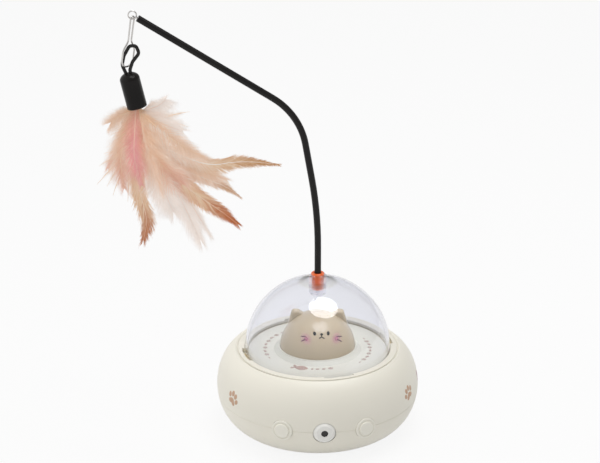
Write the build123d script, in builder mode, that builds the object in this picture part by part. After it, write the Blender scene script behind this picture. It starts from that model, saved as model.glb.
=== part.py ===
from build123d import *
import os
from math import acos, asin, atan2, cos, degrees, pi, radians, sin, sqrt, tan

# Automatic cat laser toy.  Millimetres, +Z up.  The laser eye and the cat's face look towards -Y,
# the wand leans towards -X, and the origin is the centre of the foot ring's lower face.
# Azimuths are degrees round +Z from the front (-Y), positive towards +X.

# ---------------------------------------------------------------------------- driving dimensions
# Clearances
slide_gap = 0.05          # radial running fit of a shaft in its bore
seat_gap = 0.1            # under a face that turns on another
part_gap = 0.3            # between curved faces of different bodies
rim_gap = 0.3             # round the turntable and round the dome

# Dome and the turntable that carries it
dome_r = 43.2             # outside of the hemisphere
dome_wall = 1.2
dome_skirt = 4.9          # straight skirt under the hemisphere
lip_w = 3.0               # raised lip of the turntable, radial
lip_h = 1.5               # wall over the lug groove
lip_rise = 0.1            # lip over the crest of the rim
lip_cover = 0.9           # the lip reaches over the gap round the turntable
lip_cover_t = 0.5
lip_cover_round = 0.3
lug_h = 1.2
lug_reach = 1.7           # how far a lug stands out of the dome
lug_span = 17.0           # degrees
lug_azimuth = 15.0        # first lug
lug_count = 4
notch_span = 23.0         # degrees, the lug drops in through it
notch_azimuth = 12.5      # middle of the first notch

# Base shells
dip_w = 2.4               # the rim dips from its crest to the turntable
dip_h = 0.65
shoulder_w = 11.0         # from the crest of the rim out to the belly
split_z = 22.5            # parting line, level with the buttons and the laser eye
belly_rise = 4.5          # widest height above the parting line
lower_curve_r = 20.2      # ellipse under the belly
lower_curve_z = 25.8
upper_curve_r = 16.2      # ellipse over the belly
upper_curve_z = 24.5
foot_height = 2.0         # the foot ring stands this far out of the floor
shell_wall = 2.2
seam_w = 0.3              # side of the V groove where the shells meet
ledge_w = 8.8             # dust ledge under the turntable
ledge_t = 1.2

# Foot ring
foot_r = 35.5
foot_w = 5.0
foot_sink = 1.2

# Chassis and fasteners
chassis_r = 50.0
chassis_rise = 3.0        # over the belly's height
chassis_t = 2.0
chassis_boss_h = 3.0      # bosses of the axle and of the idler pin, under the plate
boss_r = 3.2
boss_ring_r = 41.4
screw_r = 1.25
screw_head_r = 2.3
screw_head_h = 1.6
screw_bite = 6.0          # length of a case screw in the upper boss
screw_well = 4.0          # screw heads above the floor's underside

# Turntable, axle and drive
web_t = 2.0
ring_floor_t = 1.6
hub_wall = 3.95
axle_r = 3.0
axle_boss_h = 1.2
axle_screw_r = 1.5
axle_screw_length = 8.0
axle_screw_head_r = 2.8
axle_screw_head_h = 2.0
retainer_t = 0.8
washer_t = 0.6
washer_w = 3.5
gear_lift = 2.2           # gears above the chassis plate
gear_t = 4.0
drive_module = 0.8
drive_teeth = 48
idler_teeth = 24
pinion_teeth = 15
pinion_bearing = 60.0     # degrees from +X, pinion as seen from the idler
idler_pin_r = 1.5
motor_r = 10.0
motor_length = 20.0
motor_shaft_r = 1.0
motor_collar_r = 3.5

# Screws of the deck and of the motor
deck_screw_r = 1.0
deck_screw_ring_r = 32.0
deck_screw_bite = 1.4
deck_screw_head_r = 1.9
deck_screw_head_h = 1.0
motor_screw_r = 1.0
motor_screw_ring_r = 7.0
motor_screw_head_r = 1.7
motor_screw_bite = 3.0

# Deck and cat
deck_t = 2.1
deck_bead_rise = 2.7      # bead round the cat above the deck's rim
deck_flat_r = 26.0
cat_r = 22.4
cat_h = 21.2              # crown over the head's widest circle
cat_skirt = 0.8           # from the widest circle down to the seat
cat_wall = 2.0
# an ear's outline as x and height over the head's foot, blunt tip second and third; it ends in the wall
ear_corners = [(18.6, 9.2), (15.3, 21.2), (11.6, 21.1), (7.4, 18.4), (13.2, 15.3)]
ear_t = 5.0
ear_front_y = 1.5         # an ear's front face, behind the head's axis
ear_tip_r = 2.2
cat_turn = -4.0           # the head looks this far round from the front
ear_round = 1.6           # rounding of an ear's edges

# Wand socket at the dome's top
cup_r = 5.0
cup_depth = 9.9           # inner cup, measured down from the top of the dome
cup_floor = 1.4
collar_r = 5.25
collar_h = 3.0
flare_r = 6.95
socket_r = 3.5
socket_flange_r = 3.9
socket_flange_h = 1.1
socket_floor = 2.0
socket_inset = 9.6        # sleeve below the collar's top

# Wand: its centre line in the XZ plane, as x and height above the socket's floor
wand_r = 1.95
core_r = 0.55
wand_corners = [(0.0, 46.3), (-10.5, 106.9)]
wand_tip = (-101.6, 165.4)
wand_bend_radii = [250.0, 42.0]
eye_ring_r = 2.3
eye_wire_r = 0.4
eye_neck = 1.2

# Wire pin
pin_wire_r = 0.5
pin_head_r = 1.5
pin_neck_length = 13.0
pin_bulb_length = 15.0
pin_bulb_half = 4.9
pin_lean = 8.0            # degrees towards -X as it goes down
pin_turn = 50.0           # its plane turned from XZ, degrees

# Lure
lure_cord_r = 1.0
cord_spread = 1.35        # each strand from the cap's axis
cord_bite = 5.5           # length of a strand inside the cap
cap_r = 5.75
cap_length = 20.8
cap_wall = 1.1
cap_lean = 12.7           # degrees, its foot towards +X
cap_drop = 3.6            # cap under the pin's foot
cap_shift = 0.6           # and towards +X
fluff_length = 62.0
fluff_r = 15.0
fluff_lean = 20.0         # degrees from straight down, towards +X
feather_t = 1.2

# Buttons
button_azimuth = 23.8
button_r = 6.3
button_crown_r = 4.4
button_proud = 0.9
button_crown = 0.8
button_crown_round = 0.75
button_edge_round = 0.7
button_valley_w = 0.7     # shallow ring round the crown
button_valley_h = 0.25
button_flange_r = 7.8
button_flange_t = 1.1
button_stem_r = 2.0
button_stem_length = 1.0
button_travel = 0.8
guide_wall = 1.5
guide_length = 5.0

# Laser eye
eye_ball_r = 7.3
eye_depth = 4.0           # pivot inside the shell's face
eye_face = 5.5            # flat face ahead of the pivot
eye_back = 3.5            # the ball is cut flat behind the pivot
eye_face_round = 0.8
eye_tail_r = 4.5
eye_tail = 10.0
aperture_r = 2.05
aperture_depth = 1.6
window_t = 0.8
module_r = 3.0
module_tail = 1.0
pivot_pin_r = 0.6
pivot_pin_depth = 1.6     # in the ball
pivot_wall = 1.2
sector_module = 0.5
sector_teeth = 56
sector_t = 2.0
sector_half_angle = 22.0
laser_pinion_teeth = 16
laser_motor_r = 6.0
laser_motor_length = 16.0
laser_shaft_r = 0.75

# Electrics
battery_r = 9.2
battery_length = 65.0
battery_x = -10.0
battery_lift = 2.8        # above the floor
cradle_t = 3.0
board_t = 1.6
main_board_w = 34.0
main_board_y = 22.0       # its front edge
main_board_inset = 4.2    # its back edge inside the wall at the inlet
main_board_corner = 10.0
main_board_lift = 5.0
board_rib_w = 2.0
board_rib_length = 16.0
board_rib_x = 12.0
usb_w = 8.9
usb_h = 3.2
usb_length = 8.6
switch_board_w = 16.0
switch_board_h = 13.0
switch_post_w = 12.0
switch_post_gap = 0.6     # post's top under the switch
switch_post_wall = 1.6    # either side of the board's slot
switch_body = 6.0
switch_body_t = 3.1
plunger_r = 1.6
plunger_h = 0.8
plunger_slack = 0.4       # left before the plunger when a button is fully pressed

# ---------------------------------------------------------------------------- derived sizes
lip_inner_r = dome_r + rim_gap
turntable_r = lip_inner_r + lip_w
opening_r = turntable_r + rim_gap
crest_r = opening_r + dip_w
step_r = turntable_r + lip_cover + rim_gap
belly_r = crest_r + shoulder_w
belly_z = split_z + belly_rise
lower_centre_r = belly_r - lower_curve_r
upper_centre_r = belly_r - upper_curve_r
crest_angle = degrees(acos((crest_r - upper_centre_r) / upper_curve_r))
crest_z = belly_z + upper_curve_z * sin(radians(crest_angle))
floor_z = foot_height + shell_wall

lip_top = crest_z + lip_rise
groove_top = lip_top - lip_h
groove_bottom = groove_top - lug_h - 2 * part_gap
groove_r = dome_r + lug_reach + rim_gap
ring_top = groove_bottom - 1.6
ring_bottom = ring_top - ring_floor_t
ledge_top = ring_bottom - 0.6
dome_centre_z = ring_top + seat_gap + dome_skirt
dome_inner_r = dome_r - dome_wall
deck_r = dome_inner_r - part_gap - 0.1
web_top = ring_top + 1.2
web_bottom = web_top - web_t

chassis_z = belly_z + chassis_rise
chassis_top = chassis_z + chassis_t
axle_boss_r = axle_r + washer_w
hub_r = axle_r + slide_gap + hub_wall
washer_z = chassis_top + axle_boss_h
hub_bottom = washer_z + washer_t + seat_gap
gear_z = chassis_top + gear_lift
gear_top = gear_z + gear_t
axle_top = web_top + part_gap

drive_pitch_r = drive_module * drive_teeth / 2
idler_pitch_r = drive_module * idler_teeth / 2
pinion_pitch_r = drive_module * pinion_teeth / 2
idler_x = drive_pitch_r + idler_pitch_r
pinion_x = idler_x + (idler_pitch_r + pinion_pitch_r) * cos(radians(pinion_bearing))
pinion_y = (idler_pitch_r + pinion_pitch_r) * sin(radians(pinion_bearing))

deck_bottom = web_top
deck_top = deck_bottom + deck_t
bead_top = deck_top + deck_bead_rise
cat_seat_z = bead_top - 1.2
cat_foot_z = cat_seat_z + cat_skirt
cat_centre_z = cat_foot_z - (cat_r**2 - cat_h**2) / (2 * cat_h)
cat_ball_r = cat_foot_z + cat_h - cat_centre_z
deck_hole_r = cat_r - 3.9

dome_top_z = dome_centre_z + dome_r
collar_top = dome_top_z + collar_h
cup_bottom = dome_top_z - cup_depth
socket_bore_r = wand_r + slide_gap
socket_bottom = collar_top - socket_inset
socket_floor_z = socket_bottom + socket_floor
socket_top = collar_top + slide_gap + socket_flange_h
wand_foot_z = socket_floor_z + seat_gap


def body_radius(z):
    """Outside radius of the base at a height under the belly."""
    return lower_centre_r + lower_curve_r * sqrt(1 - ((z - belly_z) / lower_curve_z) ** 2)


port_r = body_radius(split_z)
eye_pivot_r = port_r - eye_depth
sector_pitch_r = sector_module * sector_teeth / 2
laser_pinion_pitch_r = sector_module * laser_pinion_teeth / 2
laser_pinion_y = -(eye_pivot_r - sector_pitch_r - laser_pinion_pitch_r)
sector_z = split_z + eye_tail_r
laser_motor_top = split_z + 1.5
collar_inner_r = eye_ball_r + part_gap
laser_collar_r = collar_inner_r + pivot_wall


# ---------------------------------------------------------------------------- helpers
def radial_plane(azimuth, z=split_z):
    """Plane on the axis at height z whose normal points outwards at an azimuth."""
    angle = radians(azimuth)
    return Plane(origin=(0, 0, z), x_dir=(cos(angle), sin(angle), 0), z_dir=(sin(angle), -cos(angle), 0))


def body_section(inset, low_z, high_z):
    """Half section of the base, inset from its face, between two heights."""
    with BuildSketch() as section:
        with BuildLine():
            foot = (floor_arc_x(inset), foot_height + inset)
            foot_angle = degrees(asin((foot[1] - belly_z) / (lower_curve_z - inset)))
            lower = EllipticalCenterArc(
                (lower_centre_r, belly_z),
                lower_curve_r - inset,
                lower_curve_z - inset,
                start_angle=foot_angle,
                arc_size=-foot_angle,
            )
            upper = EllipticalCenterArc(
                (upper_centre_r, belly_z),
                upper_curve_r - inset,
                upper_curve_z - inset,
                start_angle=0,
                arc_size=90,
            )
            Line(upper @ 1, (0, (upper @ 1).Y))
            Line((0, (upper @ 1).Y), (0, foot[1]))
            Line((0, foot[1]), lower @ 0)
        make_face()
        with Locations((belly_r / 2, (low_z + high_z) / 2)):
            Rectangle(belly_r * 2, high_z - low_z, mode=Mode.INTERSECT)
    return section.sketch


def floor_arc_x(inset):
    """Radius at which the lower curve meets the floor."""
    height = foot_height + inset - belly_z
    return lower_centre_r + (lower_curve_r - inset) * sqrt(1 - (height / (lower_curve_z - inset)) ** 2)


def gear_sketch(teeth, module, first_tooth=0.0, backlash=0.16):
    """Involute spur gear of 20 degrees, with one tooth centred on the angle first_tooth."""
    pitch_r = teeth * module / 2
    base_r = pitch_r * cos(radians(20))
    tip_r = pitch_r + 0.85 * module
    root_r = pitch_r - 1.15 * module
    half_tooth = pi / (2 * teeth) - backlash / (2 * pitch_r)

    def involute(pressure):
        return tan(pressure) - pressure

    flank = []
    steps = 5
    start_r = max(base_r, root_r)
    for step in range(steps + 1):
        r = start_r + (tip_r - start_r) * step / steps
        half = half_tooth + involute(radians(20)) - involute(acos(min(1.0, base_r / r)))
        flank.append((r * cos(half), r * sin(half)))
    foot_half = atan2(flank[0][1], flank[0][0])
    foot = ((root_r - 0.2) * cos(foot_half), (root_r - 0.2) * sin(foot_half))
    upper = [foot] + flank
    lower = [(x, -y) for x, y in reversed(upper)]
    with BuildSketch() as tooth:
        with BuildLine():
            Polyline(*upper, *lower, close=True)
        make_face()
    with BuildSketch() as gear:
        Circle(root_r)
        with PolarLocations(0, teeth, start_angle=first_tooth):
            add(tooth.sketch)
    return gear.sketch


def write_part(builder, name):
    """Label a finished piece and write its file."""
    builder.part.label = name
    export_step(builder.part, "parts/" + name + ".step")


os.makedirs("parts", exist_ok=True)

# ---------------------------------------------------------------------------- base shells
boss_places = PolarLocations(boss_ring_r, 4, start_angle=45).local_locations
boss_points = [(place.position.X, place.position.Y) for place in boss_places]
guide_bore_r = button_flange_r + part_gap
guide_r = guide_bore_r + guide_wall
button_port_r = button_r + seat_gap
guide_end_r = port_r - shell_wall / 2
post_inner_r = port_r - shell_wall - guide_length - 3.5
board_top = floor_z + main_board_lift + board_t
usb_r = body_radius(board_top + usb_h / 2)
main_board_back = usb_r - shell_wall - main_board_inset

button_face_r = port_r + button_proud
flange_face_r = port_r - shell_wall - 1.2
stem_tip_r = flange_face_r - button_flange_t - button_stem_length
plunger_tip_r = stem_tip_r - button_travel - plunger_slack
switch_face_r = plunger_tip_r - plunger_h
switch_board_r = switch_face_r - switch_body_t
switch_post_h = split_z - switch_body / 2 - switch_post_gap - floor_z + 0.4
board_slot_t = board_t + 2 * seat_gap

# Posts, collars and cradles inside the two shells, before they are trimmed to the shells' inside
with BuildPart() as shell_inside:
    for azimuth in (-button_azimuth, button_azimuth):
        with BuildSketch(radial_plane(azimuth).offset(guide_end_r)):
            Circle(guide_r)
        extrude(amount=-guide_length)
    with BuildSketch(radial_plane(0).offset(guide_end_r)):
        Circle(laser_collar_r)
    extrude(amount=-guide_length - 2.5)

with BuildPart() as shell_core:
    with BuildSketch(Plane.XZ):
        add(body_section(shell_wall / 2, 0, crest_z))
    revolve(axis=Axis.Z)

with BuildPart() as bottom_guides:
    add(shell_inside.part)
    add(shell_core.part, mode=Mode.INTERSECT)
    split(bisect_by=Plane.XY.offset(split_z), keep=Keep.BOTTOM)

with BuildPart() as top_guides:
    add(shell_inside.part)
    add(shell_core.part, mode=Mode.INTERSECT)
    split(bisect_by=Plane.XY.offset(split_z), keep=Keep.TOP)

with BuildPart() as port_cuts:
    for azimuth in (-button_azimuth, button_azimuth):
        with BuildSketch(radial_plane(azimuth).offset(port_r - shell_wall - guide_length - 1)):
            Circle(guide_bore_r)
        extrude(amount=guide_length + 1 - 0.3)
        with BuildSketch(radial_plane(azimuth).offset(port_r - shell_wall - guide_length)):
            Circle(button_port_r)
        extrude(amount=guide_length + shell_wall + 3)
    with Locations((0, -eye_pivot_r, split_z)):
        Sphere(collar_inner_r)
    with BuildSketch(radial_plane(0).offset(eye_pivot_r)):
        Circle(collar_inner_r)
    extrude(amount=-guide_length - 6)
    for sign in (-1, 1):
        low = eye_ball_r - pivot_pin_depth
        with BuildSketch(Plane.XY.offset(split_z + sign * low)):
            with Locations((0, -eye_pivot_r)):
                Circle(pivot_pin_r)
        extrude(amount=sign * (laser_collar_r - low - 0.2))


with BuildPart() as bottom_case:
    with BuildSketch(Plane.XZ):
        add(body_section(0, 0, split_z))
        add(body_section(shell_wall, 0, split_z + 1), mode=Mode.SUBTRACT)
        with Locations((port_r, split_z)):
            Rectangle(seam_w, seam_w, rotation=45, mode=Mode.SUBTRACT)
    revolve(axis=Axis.Z)
    # screw bosses up to the chassis plate
    with BuildSketch(Plane.XY.offset(foot_height + 0.6)):
        with Locations(*boss_points):
            Circle(boss_r)
    extrude(amount=chassis_z - foot_height - 0.6)
    # cradle under the battery
    with BuildSketch(Plane.YZ.offset(battery_x - battery_length / 4)) as cradle_face:
        with Locations((0, floor_z + (battery_lift + 3) / 2 - 0.4)):
            Rectangle(2 * battery_r - 4, battery_lift + 3)
        with Locations((0, floor_z + battery_lift + battery_r)):
            Circle(battery_r + seat_gap, mode=Mode.SUBTRACT)
    extrude(amount=cradle_t)
    extrude(to_extrude=cradle_face.sketch.moved(Location((battery_length / 2, 0, 0))), amount=cradle_t)
    # ribs under the main board, behind the battery
    rib_y = main_board_back - board_rib_length / 2
    with Locations(*[(x, rib_y, floor_z + main_board_lift / 2) for x in (-board_rib_x, board_rib_x)]):
        Box(board_rib_w, board_rib_length, main_board_lift)
    # post under the laser motor
    with BuildSketch(Plane.XY.offset(floor_z - 0.4)):
        with Locations((0, laser_pinion_y)):
            Circle(laser_motor_r + 1)
    extrude(amount=laser_motor_top - laser_motor_length - floor_z + 0.4)
    # slotted posts that hold the switch boards
    for azimuth in (-button_azimuth, button_azimuth):
        with BuildSketch(radial_plane(azimuth, floor_z - 0.4).offset(switch_board_r - board_t - switch_post_wall)):
            with Locations((0, switch_post_h / 2)):
                Rectangle(switch_post_w, switch_post_h)
        extrude(amount=board_t + 2 * switch_post_wall)
        with BuildSketch(radial_plane(azimuth, split_z).offset(switch_board_r - board_t - seat_gap)):
            Rectangle(switch_board_w + 2, switch_board_h + 2 * seat_gap)
        extrude(amount=board_slot_t, mode=Mode.SUBTRACT)
    add(bottom_guides.part)
    add(port_cuts.part, mode=Mode.SUBTRACT)
    # trim what stands out of the rounded corner
    with BuildSketch(Plane.XZ):
        add(body_section(0, 0, chassis_z))
    revolve(axis=Axis.Z, mode=Mode.INTERSECT)
    # groove for the foot ring
    with BuildSketch(Plane.XY.offset(foot_height)):
        Circle(foot_r + foot_w / 2)
        Circle(foot_r - foot_w / 2, mode=Mode.SUBTRACT)
    extrude(amount=foot_sink, mode=Mode.SUBTRACT)
    # screw wells from below, and the screws' holes
    with BuildSketch(Plane.XY.offset(foot_height)):
        with Locations(*boss_points):
            Circle(screw_head_r + 0.2)
    extrude(amount=screw_well + screw_head_h, mode=Mode.SUBTRACT)
    with BuildSketch(Plane.XY.offset(foot_height)):
        with Locations(*boss_points):
            Circle(screw_r)
    extrude(amount=chassis_z, mode=Mode.SUBTRACT)
    # inlet for the charging plug
    with BuildSketch(radial_plane(180, board_top + usb_h / 2).offset(usb_r - shell_wall - 4)):
        SlotOverall(usb_w + 4 * seat_gap, usb_h + 4 * seat_gap)
    extrude(amount=shell_wall + 6, mode=Mode.SUBTRACT)
write_part(bottom_case, "bottom_case")

with BuildPart() as top_shell:
    with BuildSketch(Plane.XZ):
        add(body_section(0, split_z, crest_z + 5))
        add(body_section(shell_wall, split_z - 1, crest_z + 5), mode=Mode.SUBTRACT)
        with Locations((port_r, split_z)):
            Rectangle(seam_w, seam_w, rotation=45, mode=Mode.SUBTRACT)
        # inner wall and dust ledge
        with BuildLine():
            Polyline(
                (opening_r, ledge_top - ledge_t),
                (crest_r, ledge_top - ledge_t),
                (crest_r, crest_z - 0.6),
                (opening_r, crest_z - 0.6),
                close=True,
            )
        make_face()
        with Locations((opening_r - ledge_w + ledge_w / 2 + 0.5, ledge_top - ledge_t / 2)):
            Rectangle(ledge_w + 1, ledge_t)
        # rim that dips from its crest to the turntable
        with BuildLine():
            Line((opening_r, crest_z + 6), (opening_r, crest_z - dip_h))
            Line((opening_r, crest_z - dip_h), (step_r, crest_z - dip_h))
            ThreePointArc(
                (step_r, crest_z - dip_h),
                (step_r + (crest_r - step_r) * 0.35, crest_z - dip_h * 0.35),
                (crest_r, crest_z),
            )
            Line((crest_r, crest_z), (crest_r, crest_z + 6))
            Line((crest_r, crest_z + 6), (opening_r, crest_z + 6))
        make_face(mode=Mode.SUBTRACT)
        with Locations((opening_r / 2, crest_z + 1)):
            Rectangle(opening_r, 2 * (crest_z + 1 - ledge_top), mode=Mode.SUBTRACT)
    revolve(axis=Axis.Z)
    # bosses from the ledge down to the chassis plate
    with BuildSketch(Plane.XY.offset(chassis_top)):
        with Locations(*boss_points):
            Circle(boss_r)
    extrude(amount=ledge_top - ledge_t - chassis_top + 0.3)
    with BuildSketch(Plane.XY.offset(chassis_top)):
        with Locations(*boss_points):
            Circle(screw_r)
    extrude(amount=screw_bite + 0.5, mode=Mode.SUBTRACT)
    add(top_guides.part)
    add(port_cuts.part, mode=Mode.SUBTRACT)
write_part(top_shell, "top_shell")

with BuildPart() as foot_ring:
    with BuildSketch():
        Circle(foot_r + foot_w / 2)
        Circle(foot_r - foot_w / 2, mode=Mode.SUBTRACT)
    extrude(amount=foot_height + foot_sink)
    fillet(foot_ring.faces().sort_by(Axis.Z)[0].edges(), 0.4)
write_part(foot_ring, "foot_ring")

# ---------------------------------------------------------------------------- chassis and fasteners
with BuildPart() as chassis:
    with BuildSketch(Plane.XY.offset(chassis_z)):
        Circle(chassis_r)
        with Locations(*boss_points):
            Circle(screw_r, mode=Mode.SUBTRACT)
        with Locations((pinion_x, pinion_y)):
            Circle(motor_collar_r + 0.2, mode=Mode.SUBTRACT)
    extrude(amount=chassis_t)
    with BuildSketch(Plane.XY.offset(chassis_z - chassis_boss_h)):
        Circle(axle_boss_r)
        with Locations((idler_x, 0)):
            Circle(idler_pin_r + 1.5)
    extrude(amount=chassis_boss_h)
    with BuildSketch(Plane.XY.offset(chassis_top)):
        Circle(axle_boss_r)
    extrude(amount=axle_boss_h)
    with BuildSketch(Plane.XY.offset(chassis_z - chassis_boss_h)):
        Circle(axle_r)
        with Locations((idler_x, 0)):
            Circle(idler_pin_r)
    extrude(amount=chassis_t + chassis_boss_h + axle_boss_h, mode=Mode.SUBTRACT)
    # motor screw holes either side of the shaft
    with BuildSketch(Plane.XY.offset(chassis_z)):
        with Locations((pinion_x, pinion_y)):
            with PolarLocations(motor_screw_ring_r, 2, start_angle=90):
                Circle(motor_screw_r)
    extrude(amount=chassis_t, mode=Mode.SUBTRACT)
write_part(chassis, "chassis")

with BuildPart() as case_screws:
    with BuildSketch(Plane.XY.offset(foot_height + screw_well)):
        with Locations(*boss_points):
            Circle(screw_head_r)
    extrude(amount=screw_head_h)
    with BuildSketch(Plane.XY.offset(foot_height + screw_well)):
        with Locations(*boss_points):
            Circle(screw_r)
    extrude(amount=chassis_top + screw_bite - foot_height - screw_well)
write_part(case_screws, "case_screws")

with BuildPart() as turntable_axle:
    with BuildSketch(Plane.XY.offset(chassis_z - chassis_boss_h)):
        Circle(axle_r)
    extrude(amount=axle_top - chassis_z + chassis_boss_h)
    chamfer(turntable_axle.faces().sort_by(Axis.Z)[-1].edges(), 0.2)
    with BuildSketch(Plane.XY.offset(axle_top)):
        Circle(axle_screw_r)
    extrude(amount=-axle_screw_length, mode=Mode.SUBTRACT)
write_part(turntable_axle, "turntable_axle")

with BuildPart() as thrust_washer:
    with BuildSketch(Plane.XY.offset(washer_z)):
        Circle(axle_boss_r)
        Circle(axle_r, mode=Mode.SUBTRACT)
    extrude(amount=washer_t)
write_part(thrust_washer, "thrust_washer")

with BuildPart() as retaining_washer:
    with BuildSketch(Plane.XY.offset(axle_top)):
        Circle(axle_boss_r)
        Circle(axle_screw_r, mode=Mode.SUBTRACT)
    extrude(amount=retainer_t)
write_part(retaining_washer, "retaining_washer")

with BuildPart() as axle_screw:
    with BuildSketch(Plane.XY.offset(axle_top + retainer_t)):
        Circle(axle_screw_head_r)
    extrude(amount=axle_screw_head_h)
    with BuildSketch(Plane.XY.offset(axle_top + retainer_t)):
        Circle(axle_screw_r)
    extrude(amount=-axle_screw_length)
    # cross recess
    with BuildSketch(Plane.XY.offset(axle_top + retainer_t + axle_screw_head_h)):
        Rectangle(3.4, 0.6)
        Rectangle(0.6, 3.4)
    extrude(amount=-0.9, mode=Mode.SUBTRACT)
write_part(axle_screw, "axle_screw")

with BuildPart() as idler_pin:
    with BuildSketch(Plane.XY.offset(chassis_z - chassis_boss_h)):
        with Locations((idler_x, 0)):
            Circle(idler_pin_r)
    extrude(amount=gear_top + 1 - chassis_z + chassis_boss_h)
    with BuildSketch(Plane.XY.offset(gear_top + 0.3)):
        with Locations((idler_x, 0)):
            Circle(idler_pin_r + 1)
    extrude(amount=0.6)
write_part(idler_pin, "idler_pin")

# ---------------------------------------------------------------------------- gear train
with BuildPart() as drive_gear:
    with BuildSketch(Plane.XY.offset(gear_z)):
        add(gear_sketch(drive_teeth, drive_module))
        Circle(hub_r, mode=Mode.SUBTRACT)
        with PolarLocations((hub_r + drive_pitch_r) / 2, 6):
            Circle(2.6, mode=Mode.SUBTRACT)
    extrude(amount=gear_t)
write_part(drive_gear, "drive_gear")

with BuildPart() as idler_gear:
    with BuildSketch(Plane.XY.offset(gear_z)):
        with Locations((idler_x, 0)):
            add(gear_sketch(idler_teeth, drive_module, first_tooth=180 / idler_teeth))
    extrude(amount=gear_t)
    with BuildSketch(Plane.XY.offset(chassis_top + seat_gap)):
        with Locations((idler_x, 0)):
            Circle(idler_pin_r + 2)
    extrude(amount=gear_lift - seat_gap)
    with BuildSketch(Plane.XY.offset(chassis_top)):
        with Locations((idler_x, 0)):
            Circle(idler_pin_r + slide_gap)
    extrude(amount=gear_lift + gear_t, mode=Mode.SUBTRACT)
write_part(idler_gear, "idler_gear")

with BuildPart() as motor_pinion:
    with BuildSketch(Plane.XY.offset(gear_z - 0.5)):
        with Locations((pinion_x, pinion_y)):
            add(gear_sketch(pinion_teeth, drive_module))
            Circle(motor_shaft_r, mode=Mode.SUBTRACT)
    extrude(amount=gear_t + 1)
write_part(motor_pinion, "motor_pinion")

with BuildPart() as motor_shaft:
    with BuildSketch(Plane.XY.offset(chassis_z - 8)):
        with Locations((pinion_x, pinion_y)):
            Circle(motor_shaft_r)
    extrude(amount=gear_top + 0.5 - chassis_z + 8)
write_part(motor_shaft, "motor_shaft")

with BuildPart() as drive_motor:
    with BuildSketch(Plane.XY.offset(chassis_z)):
        with Locations((pinion_x, pinion_y)):
            Circle(motor_r)
    extrude(amount=-motor_length)
    chamfer(drive_motor.faces().sort_by(Axis.Z)[0].edges(), 0.8)
    with BuildSketch(Plane.XY.offset(chassis_z)):
        with Locations((pinion_x, pinion_y)):
            Circle(motor_collar_r)
    extrude(amount=chassis_t - 0.4)
    with BuildSketch(Plane.XY.offset(chassis_z - 8)):
        with Locations((pinion_x, pinion_y)):
            Circle(motor_shaft_r + slide_gap)
    extrude(amount=8 + chassis_t, mode=Mode.SUBTRACT)
    with BuildSketch(Plane.XY.offset(chassis_z)):
        with Locations((pinion_x, pinion_y)):
            with PolarLocations(motor_screw_ring_r, 2, start_angle=90):
                Circle(motor_screw_r)
    extrude(amount=-motor_screw_bite, mode=Mode.SUBTRACT)
write_part(drive_motor, "drive_motor")

with BuildPart() as motor_screws:
    with BuildSketch(Plane.XY.offset(chassis_z - motor_screw_bite)):
        with Locations((pinion_x, pinion_y)):
            with PolarLocations(motor_screw_ring_r, 2, start_angle=90):
                Circle(motor_screw_r)
    extrude(amount=motor_screw_bite + chassis_t)
    with BuildSketch(Plane.XY.offset(chassis_top)):
        with Locations((pinion_x, pinion_y)):
            with PolarLocations(motor_screw_ring_r, 2, start_angle=90):
                Circle(motor_screw_head_r)
    extrude(amount=0.8)
write_part(motor_screws, "motor_screws")

# ---------------------------------------------------------------------------- turntable
with BuildPart() as turntable:
    with BuildSketch(Plane.XZ):
        with BuildLine():
            Polyline(
                (axle_r + slide_gap, hub_bottom),
                (hub_r, hub_bottom),
                (hub_r, web_bottom),
                (deck_r - 1.2, web_bottom),
                (deck_r - 1.2, ring_bottom),
                (turntable_r, ring_bottom),
                (turntable_r, lip_top - lip_cover_t),
                (turntable_r + lip_cover, lip_top - lip_cover_t),
                (turntable_r + lip_cover, lip_top - lip_cover_round),
                (turntable_r + lip_cover - lip_cover_round, lip_top),
                (lip_inner_r + lip_cover_round, lip_top),
                (lip_inner_r, lip_top - lip_cover_round),
                (lip_inner_r, groove_top),
                (groove_r, groove_top),
                (groove_r, groove_bottom),
                (lip_inner_r, groove_bottom),
                (lip_inner_r, ring_top),
                (deck_r + 0.1, ring_top),
                (deck_r + 0.1, web_top),
                (axle_r + slide_gap, web_top),
                close=True,
            )
        make_face()
    revolve(axis=Axis.Z)
    # bayonet notches through the lip, down to the groove
    with BuildSketch(Plane.XY.offset(groove_top - 0.1)):
        for index in range(lug_count):
            middle = notch_azimuth + index * 360 / lug_count - 90
            with BuildLine():
                outer = CenterArc((0, 0), groove_r, middle - notch_span / 2, notch_span)
                inner = CenterArc((0, 0), lip_inner_r - 0.5, middle - notch_span / 2, notch_span)
                Line(outer @ 0, inner @ 0)
                Line(outer @ 1, inner @ 1)
            make_face()
    extrude(amount=lip_h + 1, mode=Mode.SUBTRACT)
    # holes for the deck screws
    with BuildSketch(Plane.XY.offset(web_bottom)):
        with PolarLocations(deck_screw_ring_r, 3, start_angle=30):
            Circle(deck_screw_r)
    extrude(amount=web_t, mode=Mode.SUBTRACT)
write_part(turntable, "turntable")

with BuildPart() as deck_disc:
    with BuildSketch(Plane.XZ):
        with BuildLine():
            Polyline(
                (deck_hole_r, deck_bottom),
                (deck_r, deck_bottom),
                (deck_r, deck_top - 0.4),
                (deck_r - 0.4, deck_top),
                (deck_flat_r, deck_top),
                (cat_r + 1.3, bead_top - 0.4),
                (cat_r + 1.1, bead_top),
                (cat_r + 0.3, bead_top),
                (cat_r + 0.1, bead_top - 0.3),
                (cat_r + 0.1, cat_seat_z),
                (deck_hole_r, cat_seat_z),
                close=True,
            )
        make_face()
    revolve(axis=Axis.Z)
    with BuildSketch(Plane.XY.offset(deck_bottom)):
        with PolarLocations(deck_screw_ring_r, 3, start_angle=30):
            Circle(deck_screw_r)
    extrude(amount=deck_screw_bite, mode=Mode.SUBTRACT)
write_part(deck_disc, "deck_disc")

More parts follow.
